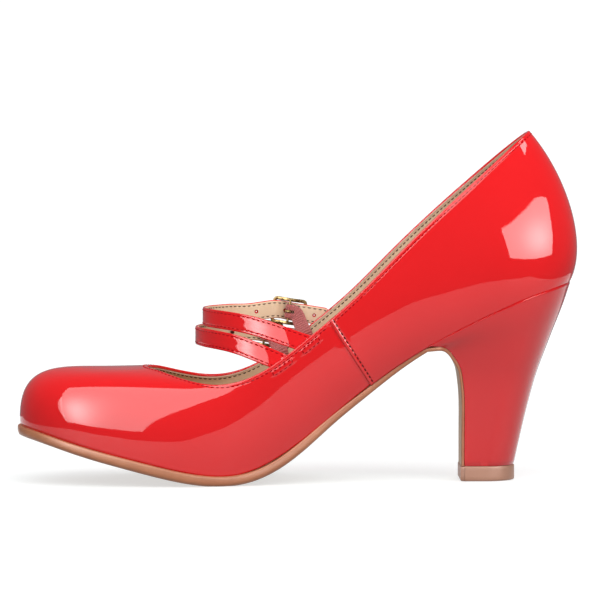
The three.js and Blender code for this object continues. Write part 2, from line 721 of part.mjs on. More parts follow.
// The elastic: a strip that goes round the centre bar and back, with both ends inside
// the outer wall, and a slot where the prong goes round the bar
function makeElastic(strap) {
  const [name, , elasticRib] = strap;
  const { centre, out, up, place } = buckleFrame(strap);
  const station = LOOP - elasticRib;
  const layer = ELASTIC_THICKNESS + 2 * GAP;
  const leg = (layers) => {
    const depth = -(3 * GAP + ELASTIC_THICKNESS / 2 + layers * layer);
    const crossing = besideWall(station, 1, depth);
    const climb = centre.clone().sub(crossing).projectOnPlane(out).normalize();
    const lean = out.clone().cross(climb);
    const bend = place(0.5 * endBar, -WIRE / 2, -ELASTIC_THICKNESS - layers * layer);
    return [
      [besideWall(station, 0.88, depth), lean],
      [crossing, lean],
      [crossing.clone().lerp(bend, 0.5), lean],
      [bend, lean.clone().add(up).normalize()],
    ];
  };
  const loop = [];
  for (let degrees = 60; degrees <= 300; degrees += 60) {
    const angle = degrees * Math.PI / 180;
    const point = place(elasticRadius * Math.cos(angle), 0, elasticRadius * Math.sin(angle));
    loop.push([point, up]);
  }
  const knots = [...leg(0), ...loop, ...leg(1).reverse()];
  const line = lineThrough(knots.map(([point]) => point));
  const across = lineThrough(knots.map(([, direction]) => direction));
  const sections = [];
  for (let k = 0; k <= 2 * (knots.length - 1); k += 1) {
    sections.push({ point: line(k / 2), across: across(k / 2), width: ELASTIC_WIDTH });
  }
  const look = material(ELASTIC_RED, 0.8);
  const strip = toSolid(band('strip', sections, ELASTIC_THICKNESS, look));
  const slotLength = 2 * prongRadius + 2 * PRONG_DIAMETER;
  const slot = new THREE.BoxGeometry(slotLength, PRONG_DIAMETER + 2 * GAP, slotLength);
  return fromSolid(`elastic_${name}`, strip.subtract(placedSolid(slot, place)), look);
}

// A box or other plain geometry of three.js, moved into a buckle's frame
function placedSolid(geometry, place) {
  const position = geometry.getAttribute('position');
  const points = [];
  const index = new Map();
  const remap = [];
  for (let i = 0; i < position.count; i += 1) {
    const local = vec().fromBufferAttribute(position, i);
    const key = local.toArray().map((value) => value.toFixed(4)).join();
    if (!index.has(key)) {
      index.set(key, points.length);
      points.push(place(local.x, local.y, local.z));
    }
    remap.push(index.get(key));
  }
  const order = Array.from(geometry.getIndex().array, (i) => remap[i]);
  const polygons = [];
  for (let i = 0; i < order.length; i += 3) polygons.push(order.slice(i, i + 3));
  return toSolid(closedMesh('box', points, polygons, null));
}

// A round wire along points in a buckle's frame
function wire(points, diameter, closed, place) {
  const sides = 6;
  const all = [];
  points.forEach((point, i) => {
    const n = points.length;
    const before = closed ? points[(i + n - 1) % n] : points[Math.max(0, i - 1)];
    const after = closed ? points[(i + 1) % n] : points[Math.min(n - 1, i + 1)];
    const along = after.clone().sub(before).normalize();
    const helper = closed ? UP : vec(0, 1, 0);
    const side = along.clone().cross(helper).normalize();
    const other = side.clone().cross(along);
    for (let k = 0; k < sides; k += 1) {
      const angle = 2 * Math.PI * (k + 0.5) / sides;
      const local = point.clone()
        .addScaledVector(side, Math.cos(angle) * diameter / 2)
        .addScaledVector(other, Math.sin(angle) * diameter / 2);
      all.push(place(local.x, local.y, local.z));
    }
  });
  const polygons = ringQuads(points.length, sides, closed);
  if (!closed) {
    const ring = Array.from({ length: sides }, (_, k) => k);
    polygons.push(ring.toReversed(), ring.map((k) => k + (points.length - 1) * sides));
  }
  return closedMesh('wire', all, polygons, null);
}

const frameHeight = (s) => FRAME_CURVE * Math.min(1, Math.abs(s) / (0.8 * endBar)) ** 1.5;

function makeBuckle(strap) {
  const { place } = buckleFrame(strap);
  const half = (BUCKLE_HEIGHT - WIRE) / 2;
  const waist = 0.3 * endBar;
  const outline = [];
  const quarter = (signX, signY, from) => {
    for (let k = 0; k <= 2; k += 1) {
      const angle = (from + 45 * k) * Math.PI / 180;
      const x = signX * (endBar - BUCKLE_CORNER) + BUCKLE_CORNER * Math.cos(angle);
      const y = signY * (half - BUCKLE_CORNER) + BUCKLE_CORNER * Math.sin(angle);
      outline.push([x, y]);
    }
  };
  quarter(1, 1, 0);
  outline.push([waist, half], [0, half], [-waist, half]);
  quarter(-1, 1, 90);
  quarter(-1, -1, 180);
  outline.push([-waist, -half], [0, -half], [waist, -half]);
  quarter(1, -1, 270);
  const points = outline.map(([x, y]) => vec(x, y, frameHeight(x)));
  const look = material(OLD_BRASS, 0.35, 0.9);
  const frame = toSolid(wire(points, WIRE, true, place));
  const centreBar = toSolid(bar(place(0, -half, 0), place(0, half, 0), WIRE, 6));
  return fromSolid(`buckle_${strap[0]}`, frame.add(centreBar), look);
}

// The prong: hooked round the centre bar, up through the strap's hole and down on the
// end bar towards the instep
const prongRadius = WIRE / 2 + GAP + PRONG_DIAMETER / 2;
const prongReach = prongRadius + PRONG_DIAMETER / 4;

function makeProng(strap) {
  const { place } = buckleFrame(strap);
  const points = [];
  for (const degrees of [310, 280, 250, 220, 190]) {
    const angle = degrees * Math.PI / 180;
    points.push(vec(prongRadius * Math.cos(angle), 0, prongRadius * Math.sin(angle)));
  }
  const clear = PRONG_DIAMETER / 2 + GAP;
  const over = overBar + STRAP_THICKNESS / 2 + clear;
  const rest = FRAME_CURVE + WIRE / 2 + clear;
  points.push(vec(-prongReach, 0, overBar));
  points.push(vec(-prongReach - PRONG_DIAMETER / 3, 0, over - PRONG_DIAMETER / 9));
  points.push(vec(-prongReach - PRONG_DIAMETER, 0, over + PRONG_DIAMETER / 9));
  points.push(vec(-endBar + PRONG_DIAMETER, 0, rest + PRONG_DIAMETER / 6));
  points.push(vec(-endBar - PRONG_DIAMETER, 0, rest - PRONG_DIAMETER / 9));
  const prong = wire(points, PRONG_DIAMETER, false, place);
  prong.name = `prong_${strap[0]}`;
  prong.material = material(OLD_BRASS, 0.35, 0.9);
  return prong;
}

const shoe = new THREE.Group();
shoe.add(makeUpper(), makeOutsole(), makeInsole(), makeHeel(), makeHeelTip());
for (const strap of STRAPS) {
  shoe.add(makeStrap(strap), makeElastic(strap), makeBuckle(strap), makeProng(strap));
}


// The origin lies under the middle of the shoe
const middle = new THREE.Box3().setFromObject(shoe).getCenter(vec(0, 0, 0));
for (const mesh of shoe.children) mesh.geometry.translate(-middle.x, -middle.y, 0);

export default shoe;
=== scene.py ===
import math

import bmesh
import bpy
import numpy as np
from mathutils import Matrix, Vector


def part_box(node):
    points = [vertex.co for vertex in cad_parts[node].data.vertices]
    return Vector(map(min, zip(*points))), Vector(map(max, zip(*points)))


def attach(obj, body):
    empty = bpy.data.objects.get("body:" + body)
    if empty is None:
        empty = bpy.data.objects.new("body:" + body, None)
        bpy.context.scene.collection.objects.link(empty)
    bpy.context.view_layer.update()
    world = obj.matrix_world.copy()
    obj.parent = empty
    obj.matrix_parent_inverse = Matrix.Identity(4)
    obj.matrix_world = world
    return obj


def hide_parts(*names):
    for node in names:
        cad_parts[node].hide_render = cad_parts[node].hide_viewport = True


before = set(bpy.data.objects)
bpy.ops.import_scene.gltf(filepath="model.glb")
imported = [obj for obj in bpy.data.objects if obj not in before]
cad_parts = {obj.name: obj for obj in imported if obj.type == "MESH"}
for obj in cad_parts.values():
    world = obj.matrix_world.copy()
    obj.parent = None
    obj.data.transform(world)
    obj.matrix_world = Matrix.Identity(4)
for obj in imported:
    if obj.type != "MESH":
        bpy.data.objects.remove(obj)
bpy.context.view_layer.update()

# Sizes in millimetres, in the frame of the part's source: the toe points to -X, the inner
# side of the foot faces -Y, and the shoe stands on Z = 0.
LAST_LENGTH = 213.7
BALL_WIDTH = 76.0
BALL_LIFT = 3.85
TOE_SPRING = 18.15
HEEL_RISE = 73.45
BACK_HEIGHT = 63.5
WALL = 1.7
LINING = 0.55
LAP = 0.6
SEAM_STATION = 9.4
GAP = 0.3
HAIRLINE = 0.06
INSOLE_GAP = 0.45
SOLE_THICKNESS = 4.1
SOLE_EDGE = 0.9
FLAP_THICKNESS = 1.15
FLAP_ROOT = 1.6
TIP_HEIGHT = 5.8
TIP_WIDTH = 25.0
TIP_LENGTH = 19.8
TIP_EDGE = 0.2
SEAT_LENGTH = 40.85
BREAST_SWEEP = 14.2
HEEL_LIP = 0.9
HEEL_STRAIGHT = 0.45
STRAP_WIDTH = 7.2
STRAP_THICKNESS = 1.4
STRAP_END = 17.0
STRAP_LEAN = 0.24
HOLE_DIAMETER = 1.9
HOLE_OUTSIDE = 0.25
HOLE_INSIDE = 0.8
HOLE_SPACING = 11.5
ELASTIC_WIDTH = 5.6
ELASTIC_THICKNESS = 0.7
BUCKLE_LENGTH = 12.8
BUCKLE_HEIGHT = 9.8
BUCKLE_CORNER = 1.1
WIRE = 1.0
FRAME_CURVE = 1.8
FRAME_BROAD = 0.72
BUCKLE_TILT = 0.15
PRONG_DIAMETER = 0.9

# name strapRib elasticRib reach foldRise buckleX buckleY buckleZ
STRAPS = [
    ("front", 8.04, 8.16, 28.9, 8.1, -5.85, 2.3, 5.7),
    ("rear", 8.72, 8.84, 35.4, 8.3, -5.85, 2.3, 7.0),
]

RIBS = 16
LOOP = 2 * RIBS
TOE_X = -0.507 * LAST_LENGTH
BACK_X = TOE_X + LAST_LENGTH
BREAST_X = BACK_X - SEAT_LENGTH

# footInner footOuter topAlong topHeight topInner topOuter
PLAN = [
    (0.053, -0.053, 0.2320, 0.565, 0.020, -0.020),
    (0.200, 0.095, 0.2345, 0.565, 0.105, 0.066),
    (0.320, 0.215, 0.2430, 0.567, 0.171, 0.138),
    (0.408, 0.333, 0.2575, 0.568, 0.224, 0.204),
    (0.462, 0.425, 0.2800, 0.563, 0.292, 0.280),
    (0.487, 0.487, 0.3120, 0.557, 0.362, 0.350),
    (0.482, 0.517, 0.3550, 0.557, 0.420, 0.403),
    (0.422, 0.504, 0.4070, 0.574, 0.439, 0.430),
    (0.340, 0.447, 0.4670, 0.592, 0.421, 0.424),
    (0.284, 0.379, 0.5320, 0.597, 0.391, 0.399),
    (0.268, 0.336, 0.6060, 0.615, 0.363, 0.371),
    (0.284, 0.317, 0.6870, 0.687, 0.339, 0.342),
    (0.305, 0.314, 0.7650, 0.780, 0.303, 0.303),
    (0.303, 0.304, 0.8300, 0.866, 0.250, 0.250),
    (0.242, 0.242, 0.8800, 0.935, 0.178, 0.178),
    (0.132, 0.132, 0.9150, 0.985, 0.092, 0.092),
    (0.000, 0.000, 0.9260, 1.000, 0.000, 0.000),
]

# lowLean lowRise lowOut highLean highRise highOut
BULGE = [
    (0.00, 1.32, 0.022, 0.56, -0.09, 0.000),
    (0.00, 1.22, 0.023, 0.57, -0.08, 0.000),
    (0.00, 1.05, 0.025, 0.60, -0.05, 0.004),
    (0.00, 0.88, 0.028, 0.60, -0.02, 0.010),
    (0.00, 0.74, 0.030, 0.54, 0.00, 0.020),
    (0.03, 0.62, 0.034, 0.43, -0.04, 0.033),
    (0.10, 0.50, 0.036, 0.32, -0.12, 0.034),
    (0.20, 0.40, 0.040, 0.30, -0.22, 0.026),
    (0.30, 0.34, 0.045, 0.30, -0.30, 0.024),
    (0.33, 0.33, 0.050, 0.30, -0.33, 0.026),
    (0.33, 0.33, 0.055, 0.30, -0.33, 0.026),
    (0.30, 0.32, 0.063, 0.30, -0.33, 0.033),
    (0.25, 0.30, 0.072, 0.30, -0.33, 0.046),
    (0.15, 0.28, 0.082, 0.35, -0.32, 0.066),
    (0.08, 0.25, 0.088, 0.42, -0.31, 0.080),
    (0.02, 0.23, 0.096, 0.48, -0.31, 0.098),
    (0.00, 0.22, 0.100, 0.50, -0.31, 0.104),
]

# along ofToeSpring ofHeelRise
PROFILE = [
    (0.000, 1.000, 0), (0.030, 0.923, 0), (0.060, 0.824, 0), (0.120, 0.612, 0),
    (0.200, 0.366, 0), (0.270, 0.160, 0), (0.320, 0.044, 0), (0.365, 0.000, 0),
    (0.410, 0, 0.0143), (0.460, 0, 0.0742), (0.510, 0, 0.1763), (0.560, 0, 0.2961),
    (0.620, 0, 0.4282), (0.690, 0, 0.5779), (0.750, 0, 0.6855), (0.810, 0, 0.7767),
    (0.870, 0, 0.8625), (0.930, 0, 0.9360), (1.000, 0, 1.0000),
]

# rib thickness edge
SOLE = [
    (0, 0.90, 1.0), (3, 0.90, 1.0), (6, 1.00, 1.0), (7, 0.96, 1.0),
    (8, 0.90, 0.7), (9, 0.68, 0.3), (10, 0.50, 0.1), (11, 0.38, 0.0),
]

# forward frontHeight frontFlare back backHeight backFlare
HEEL = [
    (0.00, 0.000, 0.00, 0.000, 0.000, 0.00),
    (0.00, 0.280, 0.06, 0.130, 0.180, 0.12),
    (0.00, 0.540, 0.15, 0.280, 0.370, 0.26),
    (0.05, 0.710, 0.25, 0.390, 0.490, 0.38),
    (0.12, 0.810, 0.35, 0.475, 0.565, 0.49),
    (0.27, 0.890, 0.46, 0.580, 0.650, 0.61),
    (0.43, 0.955, 0.60, 0.685, 0.735, 0.73),
    (0.58, 0.985, 0.75, 0.790, 0.815, 0.84),
    (0.72, 0.995, 0.89, 0.900, 0.905, 0.93),
    (1.00, 1.000, 1.00, 1.000, 1.000, 1.00),
]

# turn ofFold ofBuckle
STRAP_RISE = [
    (0.00, 0.00, 0), (0.08, 0.38, 0), (0.16, 0.70, 0), (0.28, 0.92, 0),
    (0.50, 1.00, 0), (0.75, 1.00, 0.05), (0.90, 1.00, 0.45), (1.00, 1.00, 1.00),
]


# Splines
def natural_spline(places, values):
    places = np.asarray(places, float)
    values = np.asarray(values, float)
    n = len(places)
    step = np.diff(places)
    slope = np.diff(values) / step
    system = np.eye(n)
    right = np.zeros(n)
    for i in range(1, n - 1):
        system[i, i - 1:i + 2] = step[i - 1], 2 * (step[i - 1] + step[i]), step[i]
        right[i] = 6 * (slope[i] - slope[i - 1])
    curve = np.linalg.solve(system, right)

    def at(place):
        place = np.clip(np.asarray(place, float), places[0], places[-1])
        i = np.clip(np.searchsorted(places, place) - 1, 0, n - 2)
        b = (place - places[i]) / step[i]
        a = 1 - b
        bend = ((a ** 3 - a) * curve[i] + (b ** 3 - b) * curve[i + 1]) * step[i] ** 2 / 6
        return a * values[i] + b * values[i + 1] + bend
    return at


def line_through(points):
    points = np.asarray(points, float)
    axes = [natural_spline(np.arange(len(points)), points[:, k]) for k in range(points.shape[1])]
    return lambda place: np.stack([axis(place) for axis in axes], -1)


def ring_through(points):
    points = np.asarray(points, float)
    n = len(points)
    system = 4 * np.eye(n) + np.roll(np.eye(n), 1, 0) + np.roll(np.eye(n), -1, 0)
    bend = 6 * (np.roll(points, -1, 0) - 2 * points + np.roll(points, 1, 0))
    curve = np.linalg.solve(system, bend)

    def at(place):
        place = np.asarray(place, float) % n
        i = np.floor(place).astype(int) % n
        j = (i + 1) % n
        b = (place - np.floor(place))[..., None]
        a = 1 - b
        cubic = (a ** 3 - a) * curve[i] + (b ** 3 - b) * curve[j]
        return a * points[i] + b * points[j] + cubic / 6
    return at


def table_curve(rows, column):
    return natural_spline([row[0] for row in rows], [row[column] for row in rows])


def unit(v):
    v = np.asarray(v, float)
    return v / np.maximum(np.linalg.norm(v, axis=-1, keepdims=True), 1e-12)


def lerp(a, b, t):
    return a * (1 - t) + b * t


def bell(distance, width):
    return np.exp(-(distance / width) ** 2)


def smooth(x):
    x = np.clip(x, 0, 1)
    return x * x * (3 - 2 * x)


# The last
profile_height = natural_spline(
    [row[0] for row in PROFILE],
    [BALL_LIFT + row[1] * TOE_SPRING + row[2] * HEEL_RISE for row in PROFILE])


def feather_height(x):
    return profile_height((np.asarray(x, float) - TOE_X) / LAST_LENGTH)


loop_ribs = [(rib, -1) for rib in range(RIBS + 1)] + [(rib, 1) for rib in range(RIBS - 1, 0, -1)]


def foot_point(rib, side):
    x = TOE_X + LAST_LENGTH * (1 - math.cos(math.pi * rib / RIBS)) / 2
    y = side * BALL_WIDTH * PLAN[rib][0 if side < 0 else 1]
    return x, y, float(feather_height(x))


def top_point(rib, side):
    x = TOE_X + LAST_LENGTH * PLAN[rib][2]
    y = side * BALL_WIDTH * PLAN[rib][4 if side < 0 else 5]
    return x, y, float(feather_height(x)) + PLAN[rib][3] * BACK_HEIGHT


foot_ring = np.array([foot_point(rib, side) for rib, side in loop_ribs])
top_ring = np.array([top_point(rib, side) for rib, side in loop_ribs])
turn = np.roll(foot_ring, -1, 0) - np.roll(foot_ring, 1, 0)
outward_ring = unit(np.stack([turn[:, 1], -turn[:, 0], 0 * turn[:, 0]], -1))
if outward_ring[0, 0] > 0:
    outward_ring = -outward_ring


def bulge_ring(start, end, first):
    columns = np.array([BULGE[rib][first:first + 3] for rib, side in loop_ribs])
    ring = start + (end - start) * columns[:, 0:1] + outward_ring * columns[:, 2:3] * BALL_WIDTH
    ring[:, 2] = start[:, 2] + columns[:, 1] * (top_ring - foot_ring)[:, 2]
    return ring


rings = [foot_ring, bulge_ring(foot_ring, top_ring, 0), bulge_ring(top_ring, foot_ring, 3),
         top_ring]
ring_lines = [ring_through(ring) for ring in rings]
foot = ring_lines[0]
top = ring_lines[3]
outward = ring_through(outward_ring)


def skin(station, height):
    station, height = np.broadcast_arrays(np.asarray(station, float), np.asarray(height, float))
    h = height[..., None]
    low = 1 - h
    weights = (low ** 3, 3 * low * low * h, 3 * low * h * h, h ** 3)
    return sum(weight * line(station) for weight, line in zip(weights, ring_lines))


def skin_normal(station, height, step=0.01):
    station, height = np.broadcast_arrays(np.asarray(station, float), np.asarray(height, float))
    along = skin(station + step, height) - skin(station - step, height)
    across = skin(station, np.minimum(height + step, 1))
    across = across - skin(station, np.maximum(height - step, 0))
    return unit(np.cross(along, across))


def skin_speed(station, height, step=0.05):
    """Millimetres that the skin moves on for one station."""
    across = skin(station + step, height) - skin(station - step, height)
    return np.linalg.norm(across, axis=-1) / (2 * step)


def beside_wall(station, height, distance):
    depth = distance - WALL if distance < 0 else distance
    return skin(station, height) + skin_normal(station, height) * depth


def heights_below(stations, drops):
    """Heights of points that lie the given lengths below the topline, for each station."""
    grid = np.linspace(0, 1, 129)
    line = skin(np.asarray(stations)[:, None], grid[None, :])
    steps = np.linalg.norm(np.diff(line, axis=1), axis=2)
    below = np.cumsum(steps[:, ::-1], 1)
    below = np.concatenate([np.zeros((len(stations), 1)), below], 1)
    drops = np.broadcast_to(np.asarray(drops, float), (len(stations),) + np.shape(drops)[-1:])
    return np.stack([np.interp(drops[i], below[i], grid[::-1]) for i in range(len(stations))])


# Meshes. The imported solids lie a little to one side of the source's frame.
seat_x = BREAST_X - BREAST_SWEEP
tip_back_x = BREAST_X + TIP_LENGTH
tip_low, tip_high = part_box("heel_tip")
SHIFT = np.array([tip_high.x * 1000 - (tip_back_x + TIP_EDGE), (tip_low.y + tip_high.y) * 500, 0.0])


def add_piece(name, points, faces, look, replaces=None, slot=None, face_looks=None, angle=None):
    """A piece from points in millimetres, which rides on the shoe's one body."""
    data = bpy.data.meshes.new(name)
    points = (np.asarray(points, float).reshape(-1, 3) + SHIFT) / 1000
    data.from_pydata(points.tolist(), [], [tuple(int(k) for k in face) for face in faces])
    data.validate()
    for item in look if isinstance(look, list) else [look]:
        data.materials.append(item)
    if face_looks is not None:
        data.polygons.foreach_set("material_index", np.asarray(face_looks, np.int32))
    data.polygons.foreach_set("use_smooth", np.ones(len(data.polygons), bool))
    piece = bpy.data.objects.new(name, data)
    bpy.context.scene.collection.objects.link(piece)
    if angle:
        data.set_sharp_from_angle(angle=math.radians(angle))
    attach(piece, "root")
    if replaces:
        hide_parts(replaces)
    return piece


def grid_faces(rows, columns, close_rows=False, close_columns=False, start=0):
    last_row = rows if close_rows else rows - 1
    last_column = columns if close_columns else columns - 1
    i, j = np.meshgrid(np.arange(last_row), np.arange(last_column), indexing="ij")
    k = (i + 1) % rows
    m = (j + 1) % columns
    quads = np.stack([i * columns + j, i * columns + m, k * columns + m, k * columns + j], -1)
    return [tuple(face) for face in quads.reshape(-1, 4) + start]


def outward_faces(points, faces):
    """The faces turned so that the closed mesh they make has a positive volume."""
    points = np.asarray(points, float).reshape(-1, 3)
    volume = 0.0
    for face in faces:
        a, rest = points[face[0]], points[list(face[1:])]
        volume += float(np.sum(np.cross(rest[:-1], rest[1:]) @ a))
    return faces if volume > 0 else [tuple(reversed(face)) for face in faces]


def strip_faces(sections):
    """Faces of a closed body through sections, each a ring of as many points."""
    count, size = sections.shape[:2]
    faces = grid_faces(count, size, close_columns=True)
    faces.append(tuple(range(size))[::-1])
    faces.append(tuple(range((count - 1) * size, count * size)))
    return outward_faces(sections, faces)


def closed_strip(name, sections, look, **how):
    return add_piece(name, sections, strip_faces(sections), look, **how)


# Materials
class Paint:
    """A material built node by node. Its methods return what their node gives."""

    def __init__(self, name):
        self.material = bpy.data.materials.new(name)
        self.material.use_nodes = True
        self.tree = self.material.node_tree
        self.tree.nodes.clear()
        self.shader = self.add("ShaderNodeBsdfPrincipled")
        self.add("ShaderNodeOutputMaterial", Surface=self.shader.outputs[0])
        self.place = self.add("ShaderNodeTexCoord").outputs["Object"]

    def fill(self, node, inputs):
        for name, value in inputs.items():
            if isinstance(value, bpy.types.NodeSocket):
                self.tree.links.new(value, node.inputs[name])
            else:
                node.inputs[name].default_value = value

    def add(self, kind, **inputs):
        node = self.tree.nodes.new(kind)
        self.fill(node, inputs)
        return node

    def finish(self, inputs):
        self.fill(self.shader, inputs)
        return self.material

    def noise(self, scale, detail=2.0, roughness=0.5):
        return self.add("ShaderNodeTexNoise", Vector=self.place, Scale=scale, Detail=detail,
                        Roughness=roughness).outputs["Fac"]

    def ramp(self, source, low, high, colours):
        node = self.add("ShaderNodeValToRGB")
        self.tree.links.new(source, node.inputs[0])
        for k, position in enumerate((low, high)):
            node.color_ramp.elements[k].position = position
            node.color_ramp.elements[k].color = (*colours[k], 1)
        return node.outputs[0]

    def spread(self, source, low, high):
        node = self.add("ShaderNodeMapRange", Value=source)
        self.fill(node, {"To Min": low, "To Max": high})
        return node.outputs[0]

    def bump(self, source, strength, distance, before=None):
        node = self.add("ShaderNodeBump", Height=source, Strength=strength, Distance=distance)
        if before is not None:
            self.fill(node, {"Normal": before})
        return node.outputs[0]


def patent(name, light, dark):
    """Coated leather: a clear hard coat over an even colour, with a very slight ripple."""
    paint = Paint(name)
    ripple = paint.bump(paint.noise(55, 1.5), 0.30, 0.00035)
    fine = paint.bump(paint.noise(900, 2), 0.05, 0.00006, ripple)
    return paint.finish({
        "Base Color": paint.ramp(paint.noise(28, 3), 0.35, 0.7, (dark, light)),
        "Roughness": paint.spread(paint.noise(90, 2), 0.30, 0.38),
        "Specular IOR Level": 0.0, "Coat Weight": 1.0, "Coat Roughness": 0.035, "Coat IOR": 1.5,
        "Normal": fine, "Coat Normal": fine})


def grained(name, light, dark, scale, roughness, depth, specular=0.35):
    """Uncoated leather: mottled colour and a fine cell-like grain."""
    paint = Paint(name)
    cells = paint.add("ShaderNodeTexVoronoi", Vector=paint.place, Scale=scale)
    grain = paint.bump(cells.outputs["Distance"], 0.45, depth)
    return paint.finish({
        "Base Color": paint.ramp(paint.noise(60, 5, 0.62), 0.32, 0.68, (dark, light)),
        "Roughness": paint.spread(paint.noise(240, 3), roughness - 0.06, roughness + 0.08),
        "Specular IOR Level": specular,
        "Normal": paint.bump(paint.noise(150, 4), 0.3, depth, grain)})


def brass():
    paint = Paint("antique brass")
    tones = ((0.10, 0.062, 0.026), (0.42, 0.30, 0.13))
    return paint.finish({
        "Base Color": paint.ramp(paint.noise(700, 5, 0.65), 0.38, 0.62, tones),
        "Metallic": 1.0,
        "Roughness": paint.spread(paint.noise(1400, 3), 0.26, 0.5),
        "Normal": paint.bump(paint.noise(1800, 3), 0.3, 0.00004)})


def woven():
    paint = Paint("ribbed elastic")
    fibre = paint.noise(3500, 3, 0.7)
    tones = ((0.22, 0.035, 0.038), (0.58, 0.165, 0.155))
    return paint.finish({
        "Base Color": paint.ramp(fibre, 0.3, 0.7, tones),
        "Roughness": 0.75, "Sheen Weight": 0.25, "Specular IOR Level": 0.3,
        "Normal": paint.bump(fibre, 0.5, 0.0001)})


# light dark grainScale roughness grainDepth specular
GRAINED = {
    "lining": ((0.80, 0.61, 0.42), (0.69, 0.49, 0.33), 1500, 0.55, 0.00005),
    "lining_edge": ((0.60, 0.42, 0.30), (0.50, 0.33, 0.23), 2200, 0.7, 0.00004),
    "sock": ((0.58, 0.36, 0.21), (0.50, 0.30, 0.165), 1300, 0.5, 0.00005),
    "sole_edge": ((0.45, 0.165, 0.072), (0.36, 0.122, 0.052), 2600, 0.36, 0.00002, 0.5),
    "sole_bottom": ((0.60, 0.40, 0.25), (0.50, 0.31, 0.18), 900, 0.5, 0.00005),
    "tip": ((0.44, 0.215, 0.140), (0.38, 0.180, 0.112), 2000, 0.42, 0.00003, 0.5),
    # The hole look is near black: painted shade on the walls of the strap's holes, so that they
    # read as dark dots.
    "hole": ((0.05, 0.012, 0.008), (0.03, 0.006, 0.004), 2000, 0.8, 0.00002, 0.05),
    "thread": ((0.50, 0.006, 0.012), (0.30, 0.004, 0.008), 4000, 0.6, 0.00003, 0.0),
    "thread_dark": ((0.05, 0.005, 0.005), (0.02, 0.002, 0.002), 4000, 0.65, 0.00003, 0.08),
}
looks = {name: grained(name.replace("_", " "), *row) for name, row in GRAINED.items()}
looks["patent"] = patent("patent red", (0.75, 0.0085, 0.0110), (0.72, 0.0075, 0.0095))
looks["heel"] = patent("patent red, heel cover", (0.66, 0.0100, 0.0130), (0.63, 0.0090, 0.0115))
looks["brass"] = brass()
looks["elastic"] = woven()


# Stitches: how far along, how thick and how high the thread is at each of its rings
STITCH_SIDES = 6
STITCH_RISE = 0.05
STITCH_ALONG = np.array([-1.0, -0.82, -0.4, 0.0, 0.4, 0.82, 1.0])
STITCH_GIRTH = np.array([0.12, 0.75, 1.0, 1.0, 1.0, 0.75, 0.12])
STITCH_ARCH = 0.55 * np.array([-1.5, -0.7, 0.35, 0.6, 0.35, -0.7, -1.5])


def stitch_places(points, normals, pitch, length):
    """Short straight runs along a line, each as its middle, direction and normal."""
    gaps = np.linalg.norm(np.diff(points, axis=0), axis=1)
    along = np.concatenate([[0], np.cumsum(gaps)])
    count = max(1, int(round(along[-1] / pitch)))
    middles = (np.arange(count) + 0.5) * along[-1] / count

    def at(where, data):
        return np.stack([np.interp(where, along, data[:, k]) for k in range(3)], -1)
    start = at(middles - length / 2, points)
    end = at(middles + length / 2, points)
    return (start + end) / 2, unit(end - start), unit(at(middles, normals))


def stitch_rows(name, rows, look, slot, pitch, length, radius):
    """Rows of stitches: each a rounded thread whose ends dip into the leather."""
    angle = 2 * np.pi * np.arange(STITCH_SIDES) / STITCH_SIDES
    size = len(STITCH_ALONG) * STITCH_SIDES
    points = []
    faces = []
    for line, normals in rows:
        middle, along, normal = stitch_places(line, normals, pitch, length)
        normal = unit(normal - along * np.sum(normal * along, -1, keepdims=True))
        side = np.cross(normal, along)
        for k in range(len(middle)):
            base = len(points) * size
            centre = middle[k] + np.outer(STITCH_ALONG * length / 2, along[k])
            centre = centre + np.outer(STITCH_RISE + STITCH_ARCH * radius, normal[k])
            ring = np.outer(np.cos(angle), side[k]) + np.outer(np.sin(angle), normal[k])
            body = centre[:, None, :] + (STITCH_GIRTH * radius)[:, None, None] * ring
            points.append(body.reshape(-1, 3))
            faces += grid_faces(len(STITCH_ALONG), STITCH_SIDES, close_columns=True, start=base)
            faces.append(tuple(range(base, base + STITCH_SIDES))[::-1])
            faces.append(tuple(range(base + size - STITCH_SIDES, base + size)))
    return add_piece(name, np.concatenate(points), faces, look, slot=slot)


# The upper: vamp and quarter, then the lining. The rim is how high the folded top edge
# stands, outer is the outer leather's thickness, and drops are measured from the topline.
RIM = 0.42
OUTER = WALL - LINING - 0.03
STITCH_DROP = 1.55
STITCH_GROOVE = 0.10
BEAD_DROP = 0.85
BEAD_HEIGHT = 0.05
VAMP_COLUMNS = 236
QUARTER_COLUMNS = 150
LINING_COLUMNS = 300
LINING_ROWS = 26
NEAR_TOP = [RIM, 0.6, 0.8, 1.0, 1.2, 1.38, 1.55, 1.72, 1.9, 2.1, 2.35, 2.65, 3.0, 3.4, 3.8, 4.2,
            4.7, 5.3, 6.0]
LOWER_ROWS = 44

# Stitched anchors of the strap ends: station from and to, drop from and to
ANCHORS = [(7.80, 8.36, 1.95, 4.05), (8.62, 9.07, 1.85, 4.15)]


def row_heights(stations):
    upper = heights_below(stations, NEAR_TOP)
    shares = np.linspace(0, 1, LOWER_ROWS + 1)[1:]
    lower = upper[:, -1:] * (1 - shares)[None, :]
    return np.concatenate([upper, lower], 1)


def drop_below_top(stations, heights):
    line = skin(stations, heights)
    first = np.full((len(line), 1), RIM)
    steps = np.linalg.norm(np.diff(line, axis=1), axis=2)
    return np.concatenate([first, RIM + np.cumsum(steps, 1)], 1)


def topline_lift(drops):
    """The groove of the stitches along the topline, and a slight bead above it."""
    groove = STITCH_GROOVE * bell(drops - STITCH_DROP, 0.3)
    return -groove + BEAD_HEIGHT * bell(drops - BEAD_DROP, 0.35)


ANCHOR_SPREAD = 0.03    # stations over which the leather rises at an anchor's sides
ANCHOR_LIFT = 0.22
ANCHOR_GROOVE = 0.07


